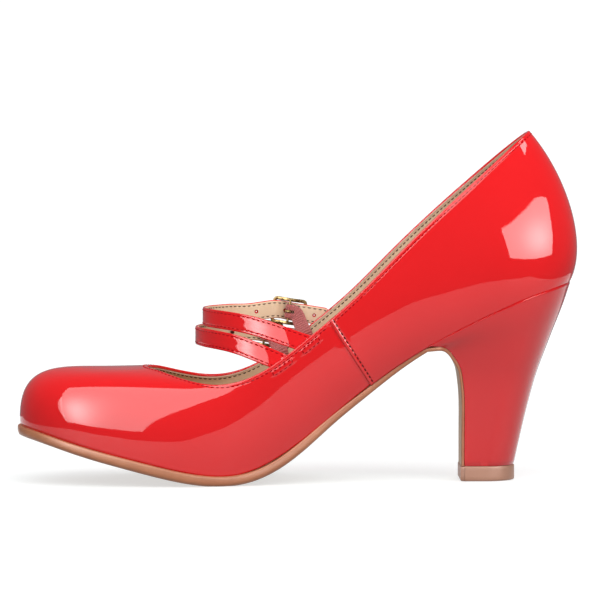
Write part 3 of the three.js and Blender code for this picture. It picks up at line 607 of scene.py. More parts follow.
def anchor_lift(stations, drops):
    """The strap ends and the elastics stitched inside lift the leather a little."""
    lift = 0 * drops
    for start, end, low, high in ANCHORS:
        for first, last in ((start, end), (LOOP - end, LOOP - start)):
            inside = smooth((stations % LOOP - first) / ANCHOR_SPREAD + 0.5)
            inside = inside * smooth((last - stations % LOOP) / ANCHOR_SPREAD + 0.5)
            deep = smooth((drops - low + 0.2) / 0.5) * smooth((high + 0.2 - drops) / 0.5)
            lift += ANCHOR_LIFT * inside * deep
            edge = inside * (bell(drops - low, 0.22) + bell(drops - high, 0.22))
            lift -= ANCHOR_GROOVE * edge
    return lift


def leather_sheet(name, stations, heights, lift, inner, replaces):
    """A sheet on the last with its top edge folded over. Rows run down from the topline."""
    count, rows = heights.shape
    normal = skin_normal(stations, heights)
    surface = skin(stations, heights)
    outer = surface + normal * lift[..., None]
    inside = surface - normal * inner
    climb = unit(surface[:, 0] - surface[:, 1])
    middle = (outer[:, 0] + inside[:, 0]) / 2
    reach = (outer[:, 0] - inside[:, 0]) / 2
    arc = []
    for angle in np.radians([22, 45, 68, 90, 112, 135, 158]):
        rise = RIM * math.sin(angle) ** 0.8
        arc.append(middle + reach * math.cos(angle) + climb * rise)
    arc = np.stack(arc, 1)
    sections = np.concatenate([outer[:, ::-1], arc, inside], 1)
    size = sections.shape[1]
    faces = grid_faces(count, size, close_columns=True)
    for base, turned in ((0, False), ((count - 1) * size, True)):
        cap = []
        for k in range(rows - 1):
            a, b = k, k + 1
            c, d = size - 1 - (k + 1), size - 1 - k
            cap.append((base + a, base + b, base + c, base + d))
        cap.append(tuple(base + k for k in range(rows - 1, size - rows + 1)))
        faces.extend(tuple(reversed(face)) if turned else face for face in cap)
    faces = outward_faces(sections, faces)
    return add_piece(name, sections, faces, looks["patent"], replaces=replaces, slot="patent_red")


def make_vamp():
    under_quarter = 0.16
    ends = SEAM_STATION + under_quarter
    stations = np.linspace(-ends, ends, VAMP_COLUMNS)
    heights = row_heights(stations)
    grid = np.broadcast_to(stations[:, None], heights.shape)
    drops = drop_below_top(grid, heights)
    lift = topline_lift(drops) + anchor_lift(grid, drops)
    near_end = smooth((np.abs(grid) - SEAM_STATION + 0.04) / 0.05)
    lift = lerp(lift, -0.25, near_end)
    leather_sheet("vamp", grid, heights, lift, OUTER, "upper")


# How far behind the seam's edge the quarter's first columns lie, and how far it is raised
SEAM_STEPS = [0, 0.03, 0.08, 0.16, 0.28, 0.42, 0.6, 0.8, 1.0, 1.2, 1.35, 1.5, 1.65, 1.8, 2.0, 2.3,
              2.7, 3.2, 4.0]
SEAM_STITCH = 1.5


def make_quarter():
    middle = np.linspace(SEAM_STATION + 0.24, LOOP - SEAM_STATION - 0.24, QUARTER_COLUMNS)
    rows_at = np.concatenate([np.full(len(SEAM_STEPS), SEAM_STATION), middle,
                              np.full(len(SEAM_STEPS), LOOP - SEAM_STATION)])
    heights = row_heights(rows_at)
    speed = skin_speed(SEAM_STATION, heights[0])
    steps = np.array(SEAM_STEPS)
    grid = np.broadcast_to(rows_at[:, None], heights.shape).copy()
    n = len(steps)
    grid[:n] += steps[:, None] / speed[None, :]
    grid[-n:] -= steps[::-1, None] / speed[None, :]
    for k in range(len(rows_at)):
        if k < n or k >= len(rows_at) - n:
            heights[k] = row_heights(np.array([grid[k].mean()]))[0]
    behind = np.minimum(grid - SEAM_STATION, LOOP - SEAM_STATION - grid) * speed[None, :]
    drops = drop_below_top(grid, heights)
    fold = 0.45
    round_edge = np.sqrt(np.clip(1 - np.clip(1 - behind / fold, 0, 1) ** 2, 0, 1))
    lift = lerp(-0.08, LAP, round_edge)
    lift += 0.08 * bell(behind - 0.75, 0.4) - 0.16 * bell(behind - SEAM_STITCH, 0.28)
    lift += 0.05 * bell(behind - 2.2, 0.4)
    far = smooth((behind - 2.0) / 1.0)
    lift += far * topline_lift(drops)
    leather_sheet("quarter", grid, heights, lift, OUTER, "upper")


make_vamp()
make_quarter()


def make_lining():
    stations = np.linspace(0, LOOP, LINING_COLUMNS, endpoint=False)
    drops = np.array([0.55, 0.9, 1.2, 1.4, 1.55, 1.7, 1.9, 2.3, 3.0, 4.5, 6.5])
    upper = heights_below(stations, drops)
    shares = np.linspace(0, 1, LINING_ROWS + 1)[1:]
    heights = np.concatenate([upper, upper[:, -1:] * (1 - shares)[None, :]], 1)
    grid = np.broadcast_to(stations[:, None], heights.shape)
    normal = skin_normal(grid, heights)
    surface = skin(grid, heights)
    below = np.concatenate([drops, np.full(len(shares), np.inf)])
    dent = STITCH_GROOVE * bell(below - STITCH_DROP, 0.25)[None, :, None]
    near = surface - normal * (WALL - LINING)
    far = surface - normal * (WALL - dent)
    climb = unit(surface[:, 0] - surface[:, 1])
    edge = [lerp(near[:, 0], far[:, 0], t) + climb * rise
            for t, rise in ((0.12, 0.12), (0.5, 0.2), (0.88, 0.12))]
    sections = np.concatenate([near[:, ::-1], np.stack(edge, 1), far], 1)
    size = sections.shape[1]
    faces = grid_faces(LINING_COLUMNS, size, True, True)
    rows = heights.shape[1]
    rim = [rows - 1 <= (k % size) <= rows + 3 for k in range(len(faces))]
    faces = outward_faces(sections, faces)
    add_piece("lining", sections, faces, [looks["lining"], looks["lining_edge"]], replaces="upper",
              slot="lining", face_looks=[1 if flag else 0 for flag in rim])


make_lining()


# Stitch rows of the upper
TOPLINE_PLACES = 500
LINING_PLACES = 900
ANCHOR_PLACES = 30
ANCHOR_END_PLACES = 10
SEAM_PLACES = 120


def surface_row(stations, drops, lift, inside=False):
    stations = np.asarray(stations, float)
    drops = np.broadcast_to(np.asarray(drops, float), stations.shape)
    heights = np.array([heights_below([s], [d])[0, 0] for s, d in zip(stations, drops)])
    normal = skin_normal(stations, heights)
    return skin(stations, heights) + normal * lift, (-normal if inside else normal)


def make_upper_stitches():
    rows = []
    gap = 0.12
    vamp = np.linspace(-SEAM_STATION + gap, SEAM_STATION - gap, TOPLINE_PLACES)
    rows.append(surface_row(vamp, STITCH_DROP, -STITCH_GROOVE))
    quarter = np.linspace(SEAM_STATION + gap, LOOP - SEAM_STATION - gap, TOPLINE_PLACES)
    rows.append(surface_row(quarter, STITCH_DROP, LAP - STITCH_GROOVE))
    for start, end, low, high in ANCHORS:
        for first, last in ((start, end), (LOOP - end, LOOP - start)):
            inner = 0.02
            a, b = first + inner, last - inner
            lift = 0.15
            for drop in (low + 0.25, high - 0.25):
                rows.append(surface_row(np.linspace(a, b, ANCHOR_PLACES), drop, lift))
            for station in (a, b):
                drops = np.linspace(low + 0.5, high - 0.5, ANCHOR_END_PLACES)
                rows.append(surface_row(np.full(ANCHOR_END_PLACES, station), drops, lift))
    stitch_rows("stitches_topline", rows, looks["thread"], "patent_red", 2.0, 1.45, 0.19)
    seams = []
    for sign, base in ((1, SEAM_STATION), (-1, LOOP - SEAM_STATION)):
        heights = np.linspace(0.985, 0.02, SEAM_PLACES)
        speed = skin_speed(base, heights)
        stations = base + sign * SEAM_STITCH / speed
        normal = skin_normal(stations, heights)
        seams.append((skin(stations, heights) + normal * (LAP - 0.13), normal))
    stitch_rows("stitches_seam", seams, looks["thread_dark"], "patent_red", 1.9, 1.35, 0.22)
    row = surface_row(np.linspace(0, LOOP, LINING_PLACES), STITCH_DROP, -WALL, inside=True)
    stitch_rows("stitches_lining", [row], looks["thread_dark"], "lining", 2.0, 1.4, 0.18)


make_upper_stitches()


# Feather edge
def feather_slope(x):
    return feather_height(x + 0.5) - feather_height(x - 0.5)


def slope_length(x):
    return np.hypot(1, feather_slope(x))


def edge_point(station, out, lift):
    point = foot(station) + unit(outward(station)) * np.asarray(out)[..., None]
    point[..., 2] = feather_height(point[..., 0]) + lift * slope_length(point[..., 0])
    return point


def slab(name, outlines, look, face_looks=None, **how):
    """A body of stacked outlines, each a left and a right line that meet at closed ends."""
    left = np.stack([outline[0] for outline in outlines])
    right = np.stack([outline[1] for outline in outlines])
    layers, rungs = left.shape[:2]
    points = np.concatenate([left, right[:, ::-1]], 1)
    size = 2 * rungs
    faces = grid_faces(layers, size, close_columns=True)
    marks = ["side"] * len(faces)
    across = 10
    extra = []
    for layer, turned in ((0, True), (layers - 1, False)):
        base = layer * size
        shares = np.linspace(0, 1, across + 1)[1:-1]
        inner = left[layer][:, None] * (1 - shares)[None, :, None]
        inner = inner + right[layer][:, None] * shares[None, :, None]
        start = layers * size + sum(len(block) for block in extra)
        extra.append(inner.reshape(-1, 3))
        index = np.zeros((rungs, across + 1), int)
        index[:, 0] = base + np.arange(rungs)
        index[:, -1] = base + size - 1 - np.arange(rungs)
        index[:, 1:-1] = start + np.arange(rungs * (across - 1)).reshape(rungs, -1)
        for i in range(rungs - 1):
            for j in range(across):
                face = (index[i, j], index[i + 1, j], index[i + 1, j + 1], index[i, j + 1])
                faces.append(tuple(reversed(face)) if turned else face)
                marks.append("first" if turned else "last")
    points = np.concatenate([points.reshape(-1, 3)] + extra)
    faces = outward_faces(points, faces)
    chosen = [face_looks[mark] for mark in marks] if face_looks else None
    piece = add_piece(name, points, faces, look, face_looks=chosen, **how)
    weld(piece)
    return piece


def weld(piece):
    """Joins the doubled points where a slab's two sides meet, and drops empty faces."""
    mesh = bmesh.new()
    mesh.from_mesh(piece.data)
    bmesh.ops.remove_doubles(mesh, verts=mesh.verts, dist=1e-6)
    bmesh.ops.dissolve_degenerate(mesh, edges=mesh.edges, dist=1e-7)
    mesh.to_mesh(piece.data)
    mesh.free()


# The insole, with a soft edge and a slight crown
def make_insole():
    inset = -(WALL + INSOLE_GAP - 0.25)
    stations = np.linspace(0, RIBS, 161)
    layers = []
    for out, lift in ((0, 0.0), (0, 1.4), (-0.12, 1.75), (-0.4, 1.95), (-0.9, 2.05)):
        layers.append((edge_point(stations, inset + out, lift),
                       edge_point(LOOP - stations, inset + out, lift)))
    slab("insole", layers, looks["sock"], replaces="insole", slot="lining", angle=50)


make_insole()


# The heel
seat_station = RIBS / math.pi * math.acos(1 - 2 * (seat_x - TOE_X) / LAST_LENGTH)
seat_front = edge_point(np.array(seat_station), HEEL_LIP, -HAIRLINE)
seat_back = edge_point(np.array(float(RIBS)), HEEL_LIP, -HAIRLINE)
heel_base = TIP_HEIGHT + HAIRLINE
heel_columns = [natural_spline(range(len(HEEL)), [row[k] for row in HEEL]) for k in range(6)]


def d_shape(share):
    turned = np.maximum(0, (share - HEEL_STRAIGHT) / (1 - HEEL_STRAIGHT))
    return np.sqrt(np.maximum(0, 1 - turned ** 2))


def heel_point(station, level, side):
    station = np.asarray(station, float)
    forward, front_height, front_flare, back, back_height, back_flare = [
        column(level) for column in heel_columns]
    seat = edge_point(station if side < 0 else LOOP - station, HEEL_LIP, -HAIRLINE)
    first, last = foot(seat_station)[0], foot(float(RIBS))[0]
    along = (foot(station)[..., 0] - first) / (last - first)
    front_x = BREAST_X - forward * BREAST_SWEEP
    front_z = lerp(heel_base, seat_front[2], front_height)
    back_x = lerp(tip_back_x, seat_back[0], back)
    back_z = lerp(heel_base, seat_back[2], back_height)
    x = lerp(front_x, back_x, along)
    crown = feather_height(lerp(seat_x, seat_back[0], along)) - HAIRLINE
    crown = crown - lerp(seat_front[2], seat_back[2], along)
    flare = lerp(front_flare, back_flare, np.sin(along * math.pi / 2))
    z = lerp(front_z, back_z, along) + crown * flare ** 2
    y = lerp(side * d_shape(along) * TIP_WIDTH / 2, seat[..., 1], flare)
    return np.stack([x, y, z], -1)


def make_heel():
    shares = np.linspace(0, 1, 73)
    shares = np.concatenate([[0, 0.004, 0.012], shares[1:]])
    stations = lerp(seat_station, float(RIBS), shares)
    levels = list(np.linspace(0, 8.0, 49)) + list(np.linspace(8.08, 8.8, 12))
    top_level = len(HEEL) - 1
    layers = []
    middle = np.array([lerp(BREAST_X, tip_back_x, 0.5), 0.0, 0.0])
    low = [heel_point(stations, 0.0, side) for side in (-1, 1)]
    rounding = []
    for inset, rise in ((0.45, 0.0), (0.2, 0.06), (0.05, 0.2)):
        ring = []
        for line in low:
            flat = line - middle
            shrink = 1 - inset / np.maximum(np.hypot(flat[:, 0], flat[:, 1]), 1e-6)
            line = middle + flat * shrink[:, None]
            line[:, 2] = low[0][:, 2] + rise
            ring.append(line)
        rounding.append(tuple(ring))
    layers.extend(rounding)
    for level in levels[1:]:
        layers.append(tuple(heel_point(stations, level, side) for side in (-1, 1)))
    # the top edge of the cover, rounded under the feather edge
    seat = [heel_point(stations, float(top_level), side) for side in (-1, 1)]
    under = [heel_point(stations, top_level - 0.2, side) for side in (-1, 1)]
    for t, inset in ((0.25, -0.05), (0.6, 0.0), (0.85, 0.08), (0.96, 0.3), (1.0, 0.75)):
        ring = []
        for line, below, sign in zip(seat, under, (-1, 1)):
            point = lerp(below, line, t)
            normal = unit(outward(stations if sign < 0 else LOOP - stations))
            ring.append(point - normal * inset)
        layers.append(tuple(ring))
    slab("heel", layers, looks["heel"], replaces="heel", slot="heel_patent", angle=40)


make_heel()


def make_heel_tip():
    front_x = BREAST_X - 2 * GAP - FLAP_THICKNESS + 0.25
    back_x = tip_back_x + TIP_EDGE
    shares = np.concatenate([[0, 0.02, 0.05], np.linspace(0, 1, 65)[3:]])
    along = np.sin(shares * math.pi / 2)
    corner = 1.5

    def outline(z, out):
        x = lerp(front_x - out, back_x + out, along)
        half = d_shape(along) * (TIP_WIDTH / 2 + TIP_EDGE + out)
        cut = np.clip(1 - (x - front_x + out) / corner, 0, 1)
        half = half - cut * corner * 0.55
        level = np.full_like(x, z)
        return np.stack([x, -half, level], -1), np.stack([x, half, level], -1)
    layers = [outline(z, out) for z, out in (
        (0.0, -0.55), (0.06, -0.35), (0.22, -0.12), (0.5, 0.0), (2.0, 0.0), (4.0, 0.0),
        (5.3, 0.0), (5.6, -0.06), (5.74, -0.2), (TIP_HEIGHT, -0.5))]
    slab("heel_tip", layers, looks["tip"], replaces="heel_tip", slot="tip", angle=35)


make_heel_tip()


# The outsole
def make_outsole():
    thickness = table_curve(SOLE, 1)
    edge = table_curve(SOLE, 2)
    last = math.floor(seat_station * 4 - 0.25) / 4
    stations = np.linspace(0, last, 170)
    rings_of_edge = [(0.0, 0.75), (0.02, 0.40), (0.08, 0.12), (0.2, 0.02),
                     (0.45, 0.0), (0.62, 0.05), (0.76, 0.2), (0.87, 0.5),
                     (0.95, 0.95), (1.0, 1.6)]
    depth = thickness(stations) * SOLE_THICKNESS
    out = edge(stations) * SOLE_EDGE
    inset_limit = depth / 2 / 1.6
    root_level = len(HEEL) - 2
    levels = np.linspace(root_level, 0, 60)
    layers = []
    for drop, inset in rings_of_edge:
        sides = []
        for side in (-1, 1):
            at = stations if side < 0 else LOOP - stations
            inset_here = inset * np.minimum(1, inset_limit)
            point = foot(at) + unit(outward(at)) * (out - inset_here)[:, None]
            x = point[:, 0]
            length = slope_length(x)
            height = feather_height(x) - HAIRLINE * length - drop * depth / length
            point[:, 2] = np.maximum(0, height)
            point[:, 0] = x + drop * depth * feather_slope(x) / length
            flap = []
            for level in levels:
                above = heel_point(seat_station, min(level + 0.5, root_level + 1), -1)
                below = heel_point(seat_station, max(0, level - 0.5), -1)
                down = unit([below[0] - above[0], 0, below[2] - above[2]])
                front = np.array([down[2], 0, -down[0]])
                thick = lerp(FLAP_THICKNESS, FLAP_ROOT, max(0, level - root_level + 3) / 3)
                base = heel_point(seat_station, level, side)
                narrow = 0.45 * abs(2 * drop - 1) ** 4
                base = base + front * (HAIRLINE + drop * thick) - np.array([0, side * narrow, 0])
                flap.append(base)
            sides.append(np.concatenate([point, flap]))
        layers.append(tuple(sides))
    marks = {"side": 0, "first": 1, "last": 1}
    slab("outsole", layers, [looks["sole_edge"], looks["sole_bottom"]], face_looks=marks,
         replaces="outsole", slot="sole_leather", angle=50)


make_outsole()


# Buckles, straps and elastics
def buckle_frame(strap):
    name, strap_rib, elastic_rib, reach, fold_rise, x, y, z = strap
    centre = top(LOOP - elastic_rib) + np.array([x, y, z])
    along = np.array([math.cos(BUCKLE_TILT), 0, -math.sin(BUCKLE_TILT)])
    out = np.array([0.0, 1.0, 0.0])
    up = np.cross(along, out)

    def place(s, t, h):
        return centre + along * s + up * t + out * h
    return centre, along, out, up, place


elastic_radius = WIRE / 2 + GAP + ELASTIC_THICKNESS / 2
over_bar = elastic_radius + ELASTIC_THICKNESS / 2 + GAP + STRAP_THICKNESS / 2
under_end = FRAME_CURVE - WIRE / 2 - GAP - STRAP_THICKNESS / 2
end_bar = (BUCKLE_LENGTH - WIRE) / 2
prong_radius = WIRE / 2 + GAP + PRONG_DIAMETER / 2
prong_reach = prong_radius + PRONG_DIAMETER / 4
strap_wave = natural_spline(
    [0, 0.2 * end_bar, 0.5 * end_bar, 0.85 * end_bar, 1.15 * end_bar, 1.5 * end_bar, 2 * end_bar],
    [over_bar, over_bar, lerp(under_end, over_bar, 0.55), under_end, under_end, under_end / 2, 0])


def strap_line(strap):
    name, strap_rib, elastic_rib, reach, fold_rise = strap[:5]
    beside = 2 * GAP + STRAP_THICKNESS / 2
    start = beside_wall(strap_rib, 1.0, -beside)
    centre, along, out, up, place = buckle_frame(strap)
    of_fold = table_curve(STRAP_RISE, 1)
    of_buckle = table_curve(STRAP_RISE, 2)
    climb = centre[2] - start[2] - fold_rise
    points = []
    across = []
    for station, height in ((strap_rib + 0.30, 0.80), (strap_rib + 0.15, 0.90)):
        points.append(beside_wall(station, height, -beside))
        across.append(unit(skin(station, 1.0) - skin(station, 0.8)))
    turns = 14
    for k in range(turns - 1):
        part = k / turns
        angle = math.pi * part
        points.append(np.array([
            lerp(start[0], centre[0], part) - reach * math.sin(angle),
            lerp(start[1], centre[1], (1 - math.cos(angle)) / 2),
            start[2] + of_fold(part) * fold_rise + of_buckle(part) * climb]))
        across.append(unit([0.0, STRAP_LEAN * max(0.0, math.cos(angle)), 1.0]))
    for s in (-end_bar, 0, STRAP_END / 3, STRAP_END * 2 / 3, STRAP_END):
        points.append(place(s, 0, 0))
        across.append(up)
    return line_through(points), line_through(across), len(points)


def strap_sections(strap, per_knot=18):
    """Middle, across, out and width of a strap at many places along it."""
    point_at, across_at, count = strap_line(strap)
    centre, along, out, up, place = buckle_frame(strap)
    places = np.linspace(0, count - 1, per_knot * (count - 1) + 1)
    fine_tip = count - 1 - np.array([0.16, 0.13, 0.10, 0.08, 0.06, 0.045, 0.03, 0.02, 0.012, 0.006])
    places = np.unique(np.concatenate([places, fine_tip]))
    points = point_at(places)
    across = across_at(places)
    s = (points - centre) @ along
    near = np.linalg.norm(points - centre, axis=1) < 2.2 * end_bar
    points = points + np.where(near, strap_wave(np.abs(s)), 0)[:, None] * out
    left = np.where(places > count - 4, STRAP_END - s, STRAP_END)
    radius = STRAP_WIDTH / 2
    rounding = np.maximum(0, 1 - left / radius)
    width = STRAP_WIDTH * np.maximum(0.05, np.sqrt(np.maximum(0, 1 - rounding ** 2)))
    ahead = unit(np.gradient(points, axis=0))
    side = unit(across - ahead * np.sum(across * ahead, -1, keepdims=True))
    normal = np.cross(ahead, side)
    # out of the foot on the fold, whatever the line's sense
    middle = len(points) // 2
    if points[middle][0] * normal[middle][0] < 0:
        normal = -normal
    return points, side, normal, width, ahead


def ribbon(name, sections, profile, look, **how):
    points, side, normal, width = sections[:4]
    rings_of = []
    for share, offset, height in profile:
        reach = share * width / 2 + offset * np.minimum(1, width / 2)
        rings_of.append(points + side * reach[:, None] + normal * height)
    return closed_strip(name, np.stack(rings_of, 1), look, **how)


def edge_arc(sign, low, high, radius=0.42, steps=7):
    """Profile points round one edge of a sheet, from its low face to its high face."""
    middle = (low + high) / 2
    half = (high - low) / 2
    return [(sign, sign * (radius * math.cos(angle) - radius), middle + half * math.sin(angle))
            for angle in np.linspace(-math.pi / 2, math.pi / 2, steps)]


SHEET_SPLIT = -0.20     # where the strap's leather meets its lining, from its middle
STRAP_STITCH = 1.05     # how far in from the strap's edges its stitches lie
FACE_STEPS = (0.45, 0.7, 0.9, STRAP_STITCH, 1.2, 1.4, 1.7, 2.2, 2.9)


def strap_face(height_at):
    """Profile points across one face of a strap. Heights go by the distance from its edge."""
    right = [(1, -step, height_at(step)) for step in FACE_STEPS]
    left = [(-1, -offset, height) for share, offset, height in reversed(right)]
    return right + [(0, 0, height_at(STRAP_WIDTH / 2))] + left


def strap_profiles():
    high = STRAP_THICKNESS / 2
    low = -high

    def face(distance):
        groove = 0.09 * bell(distance - STRAP_STITCH, 0.22)
        return high - groove + 0.06 * bell(distance - 2.4, 1.2)

    def back(distance):
        return low + 0.07 * bell(distance - STRAP_STITCH, 0.22)
    leather = (edge_arc(1, SHEET_SPLIT, high) + strap_face(face)
               + edge_arc(-1, SHEET_SPLIT, high)[::-1])
    lining = [(1, -0.3, SHEET_SPLIT), (1, -0.28, low + 0.1)] + strap_face(back)
    lining += [(-1, 0.28, low + 0.1), (-1, 0.3, SHEET_SPLIT)]
    return leather, lining


def cut(piece, bodies, look=None):
    """Takes bodies, each a strip of rings, out of a piece."""
    points = []
    faces = []
    for body in bodies:
        base = sum(len(block) for block in points)
        points.append(body.reshape(-1, 3))
        faces.extend(tuple(k + base for k in face) for face in strip_faces(body))
    data = bpy.data.meshes.new("cutter")
    data.from_pydata(((np.concatenate(points) + SHIFT) / 1000).tolist(), [], faces)
    if look:
        data.materials.append(look)
    cutter = bpy.data.objects.new("cutter", data)
    bpy.context.scene.collection.objects.link(cutter)
    modifier = piece.modifiers.new("cut", "BOOLEAN")
    modifier.operation = "DIFFERENCE"
    modifier.solver = "EXACT"
    modifier.material_mode = "TRANSFER"
    modifier.object = cutter
    bpy.context.view_layer.update()
    graph = bpy.context.evaluated_depsgraph_get()
    whole = piece.data
    result = bpy.data.meshes.new_from_object(piece.evaluated_get(graph))
    piece.modifiers.clear()
    piece.data = result
    bpy.data.meshes.remove(whole)
    bpy.data.objects.remove(cutter)


def circle(sides):
    angle = 2 * np.pi * (np.arange(sides) + 0.5) / sides
    return np.cos(angle), np.sin(angle)


def rings_round(path, side, other, across, deep):
    """Rings round a path. across and deep are the reach of each ring's points both ways."""
    ring = across[..., None] * side[:, None, :] + deep[..., None] * other[:, None, :]
    return path[:, None, :] + ring


def straight_rod(start, end, radius, sides=20):
    along = unit(end - start)
    helper = np.array([0.0, 0.0, 1.0]) if abs(along[2]) < 0.9 else np.array([1.0, 0.0, 0.0])
    side = unit(np.cross(along, helper))
    other = np.cross(along, side)
    across, deep = circle(sides)
    return rings_round(np.array([start, end]), side[None], other[None],
                       radius * across[None], radius * deep[None])


# The first place on a strap that carries stitches, and the points round its blunt end's row
FIRST_STITCHED = 15
END_STITCH_POINTS = 9


def make_strap(strap):
    name = strap[0]
    centre, along, out, up, place = buckle_frame(strap)
    sections = strap_sections(strap)
    points, side, normal, width, ahead = sections
    leather, lining = strap_profiles()
    outer = ribbon(f"strap_{name}", sections, leather, looks["patent"],
                   replaces=f"strap_{name}", slot="strap_patent", angle=60)
    inner = ribbon(f"strap_{name}_lining", sections, lining, looks["lining"], slot="lining",
                   angle=60)

    past = (points - centre) @ along
    half = len(points) // 2
    reach = out * STRAP_THICKNESS * 2
    # The holes' cut walls take the near-black hole look, which is painted shade inside them.
    for piece, share in ((outer, HOLE_OUTSIDE), (inner, HOLE_INSIDE)):
        holes = []
        for offset in (-HOLE_SPACING, 0, HOLE_SPACING):
            hole = points[half + int(np.argmin(np.abs(past[half:] - (offset - prong_reach))))]
            holes.append(straight_rod(hole - reach, hole + reach, share * HOLE_DIAMETER / 2))
        cut(piece, holes, looks["hole"])

    edge = np.maximum(width / 2 - STRAP_STITCH, 0)
    body = np.flatnonzero(width > 2 * STRAP_STITCH + 0.6)
    body = body[body >= FIRST_STITCHED]
    above = STRAP_THICKNESS / 2 - 0.06
    below = STRAP_THICKNESS / 2 - 0.04
    rows_out = []
    rows_in = []
    for sign in (1, -1):
        line = (points + side * (sign * edge)[:, None])[body]
        rows_out.append((line + normal[body] * above, normal[body]))
        rows_in.append((line - normal[body] * below, -normal[body]))
    last = body[-1]
    turn_at = np.linspace(1, -1, END_STITCH_POINTS)[:, None]
    tip = points[last] + side[last] * edge[last] * turn_at + ahead[last] * 0.9 * (1 - turn_at ** 2)
    rows_out.append((tip + normal[last] * above, np.repeat(normal[last][None], len(tip), 0)))
    stitch_rows(f"stitches_strap_{name}", rows_out, looks["thread"], "strap_patent",
                2.15, 1.5, 0.18)
    stitch_rows(f"stitches_strap_{name}_lining", rows_in, looks["thread_dark"], "lining",
                2.15, 1.35, 0.16)


ELASTIC_RIB = 0.95
ELASTIC_STEPS = 600
ELASTIC_COLUMNS = np.concatenate([
    np.linspace(-1, -0.7, 7), np.linspace(-0.5, -0.1, 4), [-0.05, 0, 0.05],
    np.linspace(0.1, 0.5, 4), np.linspace(0.7, 1, 7)])


def elastic_knots(strap):
    """Knots of an elastic's line, each a point and the direction across it."""
    centre, along, out, up, place = buckle_frame(strap)
    station = LOOP - strap[2]
    layer = ELASTIC_THICKNESS + 2 * GAP

    def leg(layers):
        depth = -(3 * GAP + ELASTIC_THICKNESS / 2 + layers * layer)
        crossing = beside_wall(station, 1.0, depth)
        climb = centre - crossing
        climb = unit(climb - out * (climb @ out))
        lean = np.cross(out, climb)
        bend = place(0.5 * end_bar, -WIRE / 2, -ELASTIC_THICKNESS - layers * layer)
        return [(beside_wall(station, 0.88, depth), lean), (crossing, lean),
                (lerp(crossing, bend, 0.5), lean), (bend, unit(lean + up))]
    turns = np.radians(range(60, 301, 60))
    loop = [(place(elastic_radius * math.cos(angle), 0, elastic_radius * math.sin(angle)), up)
            for angle in turns]
    return leg(0) + loop + leg(1)[::-1]


def make_elastic(strap):
    name = strap[0]
    centre, along, out, up, place = buckle_frame(strap)
    knots = elastic_knots(strap)
    line = line_through([knot[0] for knot in knots])
    across = line_through([knot[1] for knot in knots])
    coarse_places = np.linspace(0, len(knots) - 1, ELASTIC_STEPS)
    gaps = np.linalg.norm(np.diff(line(coarse_places), axis=0), axis=1)
    length = np.concatenate([[0], np.cumsum(gaps)])
    count = int(length[-1] / ELASTIC_RIB * 10)
    lengths = np.linspace(0, length[-1], count)
    places = np.interp(lengths, length, coarse_places)
    points = line(places)
    ahead = unit(np.gradient(points, axis=0))
    side = across(places)
    side = unit(side - ahead * np.sum(side * ahead, -1, keepdims=True))
    normal = np.cross(ahead, side)
    wave = np.cos(2 * np.pi * lengths / ELASTIC_RIB)
    ring = []
    for face, columns in ((1, ELASTIC_COLUMNS), (-1, ELASTIC_COLUMNS[::-1])):
        for share in columns:
            rib = 1 - 0.8 * bell(abs(share) - 0.9, 0.08) - 0.5 * bell(share, 0.05)
            edge = math.sqrt(max(0.0, 1 - abs(share) ** 8))
            height = ELASTIC_THICKNESS / 2 * (0.62 * edge + 0.05) + 0.12 * (wave + 0.6) * rib * edge
            column = points + side * (share * ELASTIC_WIDTH / 2)
            ring.append(column + normal * (face * height)[:, None])
    piece = closed_strip(f"elastic_{name}", np.stack(ring, 1), looks["elastic"],
                         replaces=f"elastic_{name}", slot="elastic")
    # The slit that the prong passes through
    reach = prong_radius + PRONG_DIAMETER / 2 + GAP
    half = PRONG_DIAMETER / 2 + GAP / 2
    corners = ((-1, -1), (1, -1), (1, 1), (-1, 1))
    slit = [[place(s * reach, t, h * reach) for s, h in corners] for t in (-half, half)]
    cut(piece, [np.array(slit)])


BUCKLE_SIDES = 16


def rounded_outline(end, half, corner):
    """A rectangle with round corners, as points round it."""
    a, b = end - corner, half - corner
    outline = []
    for turn, sx, sy, start, finish, steps in (
            (0, 1, 1, (a, half), (-a, half), 14), (90, -1, 1, (-end, b), (-end, -b), 8),
            (180, -1, -1, (-a, -half), (a, -half), 14), (270, 1, -1, (end, -b), (end, b), 8)):
        for degrees in np.linspace(turn, turn + 90, 9):
            angle = math.radians(degrees)
            outline.append((sx * a + corner * math.cos(angle), sy * b + corner * math.sin(angle)))
        for t in np.arange(1, steps) / steps:
            outline.append((lerp(start[0], finish[0], t), lerp(start[1], finish[1], t)))
    return outline


def frame_height(s):
    return FRAME_CURVE * min(1, abs(s) / (0.8 * end_bar)) ** 1.5


def make_buckle(strap):
    name = strap[0]
    centre, along, out, up, place = buckle_frame(strap)
    half = BUCKLE_HEIGHT / 2 - WIRE + FRAME_BROAD
    outline = rounded_outline(end_bar + FRAME_BROAD - WIRE / 2, half, BUCKLE_CORNER)
    path = np.array([place(x, y, frame_height(x)) for x, y in outline])
    ahead = unit(np.roll(path, -1, 0) - np.roll(path, 1, 0))
    side = unit(np.cross(ahead, out))
    across, deep = circle(BUCKLE_SIDES)
    # The frame is cast: nearly square in section, with rounded corners
    square = 0.94 * (np.abs(across) ** 4 + np.abs(deep) ** 4) ** -0.25
    sections = rings_round(path, side, np.cross(side, ahead), (FRAME_BROAD * square * across)[None],
                           (WIRE / 2 * square * deep)[None])
    faces = outward_faces(sections, grid_faces(len(path), BUCKLE_SIDES, True, True))
    add_piece(f"buckle_{name}", sections, faces, looks["brass"],
              replaces=f"buckle_{name}", slot="buckle_brass")
    path = np.array([place(0, t, 0) for t in np.linspace(-half, half, 24)])
    side = unit(np.cross(up, [0.0, 1.0, 0.0]))
    radius = WIRE / 2 * 0.95
    bar = rings_round(path, side[None], np.cross(side, up)[None],
                      radius * across[None], radius * deep[None])
    closed_strip(f"buckle_{name}_bar", bar, looks["brass"],
                 replaces=f"buckle_{name}", slot="buckle_brass")


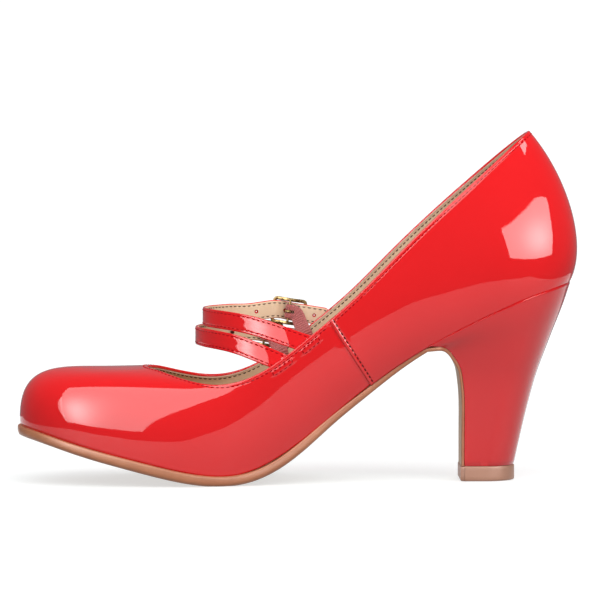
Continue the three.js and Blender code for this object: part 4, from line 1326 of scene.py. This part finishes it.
PRONG_STEPS = 90
PRONG_SIDES = 14


def make_prong(strap):
    name = strap[0]
    centre, along, out, up, place = buckle_frame(strap)
    d = PRONG_DIAMETER
    knots = []
    for degrees in (310, 280, 250, 220, 190):
        angle = math.radians(degrees)
        knots.append((prong_radius * math.cos(angle), prong_radius * math.sin(angle)))
    clear = d / 2 + GAP
    over = over_bar + STRAP_THICKNESS / 2 + clear
    rest = FRAME_CURVE + WIRE / 2 + clear
    knots += [(-prong_reach, over_bar), (-prong_reach - d / 3, over - d / 9),
              (-prong_reach - d, over + d / 9), (-end_bar + d, rest + d / 6 - 0.1),
              (-end_bar - d, rest - d / 9 - 0.15)]
    profile = line_through(knots)(np.linspace(0, len(knots) - 1, PRONG_STEPS))
    path = np.array([place(s, 0, h) for s, h in profile])
    ahead = unit(np.gradient(path, axis=0))
    side = np.broadcast_to(up, ahead.shape)
    t = np.linspace(0, 1, PRONG_STEPS)
    radius = d / 2 * np.where(t > 0.9, np.sqrt(np.maximum(0.03, 1 - ((t - 0.9) / 0.1) ** 2)), 1)
    radius = (radius * lerp(1.0, 0.82, smooth((t - 0.6) / 0.3)))[:, None]
    across, deep = circle(PRONG_SIDES)
    sections = rings_round(path, side, np.cross(side, ahead), radius * across, 0.85 * radius * deep)
    closed_strip(f"prong_{name}", sections, looks["brass"],
                 replaces=f"prong_{name}", slot="buckle_brass")


for strap in STRAPS:
    make_strap(strap)
    make_elastic(strap)
    make_buckle(strap)
    make_prong(strap)


# The floor: what lies near the shoe shows in its gloss, and the rest of it round that doesn't
NEAR_FLOOR = 0.34
FAR_FLOOR = 60.0
FLOOR_DROP = 0.00015


def pale_paint():
    paint = Paint("pale floor")
    tones = ((0.41, 0.43, 0.425), (0.425, 0.445, 0.44))
    return paint.finish({
        "Base Color": paint.ramp(paint.noise(6, 3), 0.3, 0.7, tones),
        "Roughness": 0.65, "Specular IOR Level": 0.1,
        "Emission Color": (1, 1, 1, 1), "Emission Strength": 0.60})


def square(half):
    return [(-half, -half, 0), (half, -half, 0), (half, half, 0), (-half, half, 0)]


def make_floor(name, points, faces, look):
    data = bpy.data.meshes.new(name)
    data.from_pydata(points, [], faces)
    data.materials.append(look)
    floor = bpy.data.objects.new(name, data)
    bpy.context.scene.collection.objects.link(floor)
    floor.location = (0, 0, -FLOOR_DROP)
    return floor


floor_look = pale_paint()
near_floor = make_floor("floor", square(NEAR_FLOOR), [(0, 1, 2, 3)], floor_look)
near_floor.visible_diffuse = False
round_it = [(k, (k + 1) % 4, (k + 1) % 4 + 4, k + 4) for k in range(4)]
far_floor = make_floor("floor_far", square(FAR_FLOOR) + square(NEAR_FLOOR), round_it, floor_look)
far_floor.visible_glossy = False


# Light: an even world and broad skies for colour, and softboxes that only the gloss shows
world = bpy.data.worlds.new("studio")
bpy.context.scene.world = world
world.use_nodes = True
world.node_tree.nodes["Background"].inputs[0].default_value = (0.25, 0.25, 0.26, 1)
world.node_tree.nodes["Background"].inputs[1].default_value = 1.0


def softbox(name, centre, axes, width, height, radiance):
    """A rectangular lamp. Its axes point to its right, up and away from what it lights."""
    light = bpy.data.lights.new(name, "AREA")
    light.shape = "RECTANGLE"
    light.size = width
    light.size_y = height
    light.energy = radiance * math.pi * width * height
    lamp = bpy.data.objects.new(name, light)
    bpy.context.scene.collection.objects.link(lamp)
    lamp.matrix_world = Matrix.Translation(Vector(centre)) @ Matrix(axes).transposed().to_4x4()
    lamp.visible_camera = False
    lamp.visible_diffuse = False
    return lamp


def facing(centre, aim):
    away = (Vector(centre) - Vector(aim)).normalized()
    right = Vector((0, 0, 1)).cross(away).normalized()
    return right, away.cross(right), away


def direction(azimuth, elevation):
    """The way to a place seen from the shoe. Azimuth 0 is towards the camera."""
    turned, raised = math.radians(azimuth), math.radians(elevation)
    level = math.cos(raised)
    return Vector((math.sin(turned) * level, -math.cos(turned) * level, math.sin(raised)))


def softbox_at(name, around, azimuth, elevation, half_width, half_height, distance, radiance):
    """A lamp that fills a range of directions seen from a place on the shoe, in degrees.
    Azimuth 0 is towards the camera, and it grows towards the heel."""
    centre = Vector(around) + distance * direction(azimuth, elevation)
    width = 2 * distance * math.tan(math.radians(half_width))
    height = 2 * distance * math.tan(math.radians(half_height))
    return softbox(name, centre, facing(centre, around), width, height, radiance)


def softbox_beside(name, lamp, fold, width, radiance):
    """A lamp hinged on the left edge of another, turned about that edge by an angle."""
    right, up, away = (lamp.matrix_world.to_3x3().col[k] for k in range(3))
    edge = lamp.matrix_world.translation - right * lamp.data.size / 2
    turned = right * math.cos(math.radians(fold)) - away * math.sin(math.radians(fold))
    axes = turned, up, turned.cross(up)
    return softbox(name, edge - turned * width / 2, axes, width, lamp.data.size_y, radiance)


EDGE_SHARPNESS = 30


def shape_light(lamp, middle, spread, low, high, cut_heights=None):
    """Makes a lamp brighter round one place of its face, as a bulb behind cloth does. Above
    the cut, given by its heights at the face's start and end, the face is dark."""
    lamp.data.use_nodes = True
    tree = lamp.data.node_tree
    split = tree.nodes.new("ShaderNodeSeparateXYZ")
    tree.links.new(tree.nodes.new("ShaderNodeNewGeometry").outputs["Parametric"], split.inputs[0])
    u, v = split.outputs["X"], split.outputs["Y"]

    def step(operation, *values, clamp=False):
        node = tree.nodes.new("ShaderNodeMath")
        node.operation = operation
        node.use_clamp = clamp
        for socket, value in zip(node.inputs, values):
            if isinstance(value, bpy.types.NodeSocket):
                tree.links.new(value, socket)
            else:
                socket.default_value = value
        return node.outputs[0]
    du = step("SUBTRACT", u, middle[0])
    dv = step("SUBTRACT", v, middle[1])
    square_of = step("ADD", step("MULTIPLY", du, du), step("MULTIPLY", dv, dv))
    fall = step("POWER", 2.718, step("MULTIPLY", square_of, -1 / spread ** 2))
    bright = step("MULTIPLY_ADD", fall, high - low, low)
    if cut_heights:
        start, end = cut_heights
        below = step("SUBTRACT", step("MULTIPLY_ADD", u, end - start, start), v)
        bright = step("MULTIPLY", bright, step("MULTIPLY", below, EDGE_SHARPNESS, clamp=True))
    emission = next(node for node in tree.nodes if node.type == "EMISSION")
    tree.links.new(bright, emission.inputs["Strength"])


toe = (-0.06, -0.02, 0.035)
heel_cup = (0.095, -0.02, 0.10)
front = softbox_at("softbox front", toe, -28, 44.5, 27, 41.5, 0.8, 4.0)
shape_light(front, (0.30, 0.24), 0.25, 1.05, 3.0, (0.86, 1.12))
left = softbox_beside("softbox toe", front, 52, 0.80, 4.0)
shape_light(left, (1.1, 0.24), 0.35, 1.0, 2.4, (0.27, 0.56))
right = softbox_at("softbox heel", heel_cup, 44, 18.5, 30, 15.2, 1.0, 8.5)
shape_light(right, (0.62, 0.42), 0.3, 0.75, 1.5, (0.72, 1.15))
high_place = (0.66, -0.15, 0.90)
softbox("softbox high", high_place, facing(high_place, (0.09, -0.02, 0.12)), 0.26, 0.24, 8.0)


def make_sky(name, energy, tilt, lean):
    data = bpy.data.lights.new(name, "SUN")
    data.energy = energy
    data.angle = math.radians(80)
    sky = bpy.data.objects.new(name, data)
    bpy.context.scene.collection.objects.link(sky)
    sky.rotation_euler = (math.radians(tilt), math.radians(lean), 0)
    sky.visible_glossy = False


make_sky("sky", 3.2, 46, 14)
make_sky("sky behind", 1.5, -58, -6)


# The camera, at the photograph's angle. Distance and target are in millimetres.
CAMERA_DISTANCE = 2600.0
CAMERA_TARGET = np.array([0.8, 0.0, 70.0]) + SHIFT
back = direction(-1.3, 3.2)
camera_data = bpy.data.cameras.new("camera")
camera_data.lens = 400
camera_data.sensor_width = 36
camera_data.clip_end = 200
camera = bpy.data.objects.new("camera", camera_data)
bpy.context.scene.collection.objects.link(camera)
camera.location = (Vector(CAMERA_TARGET) + CAMERA_DISTANCE * back) / 1000
camera.rotation_euler = (-back).to_track_quat("-Z", "Y").to_euler()
bpy.context.scene.camera = camera
bpy.context.scene.view_settings.view_transform = "Standard"
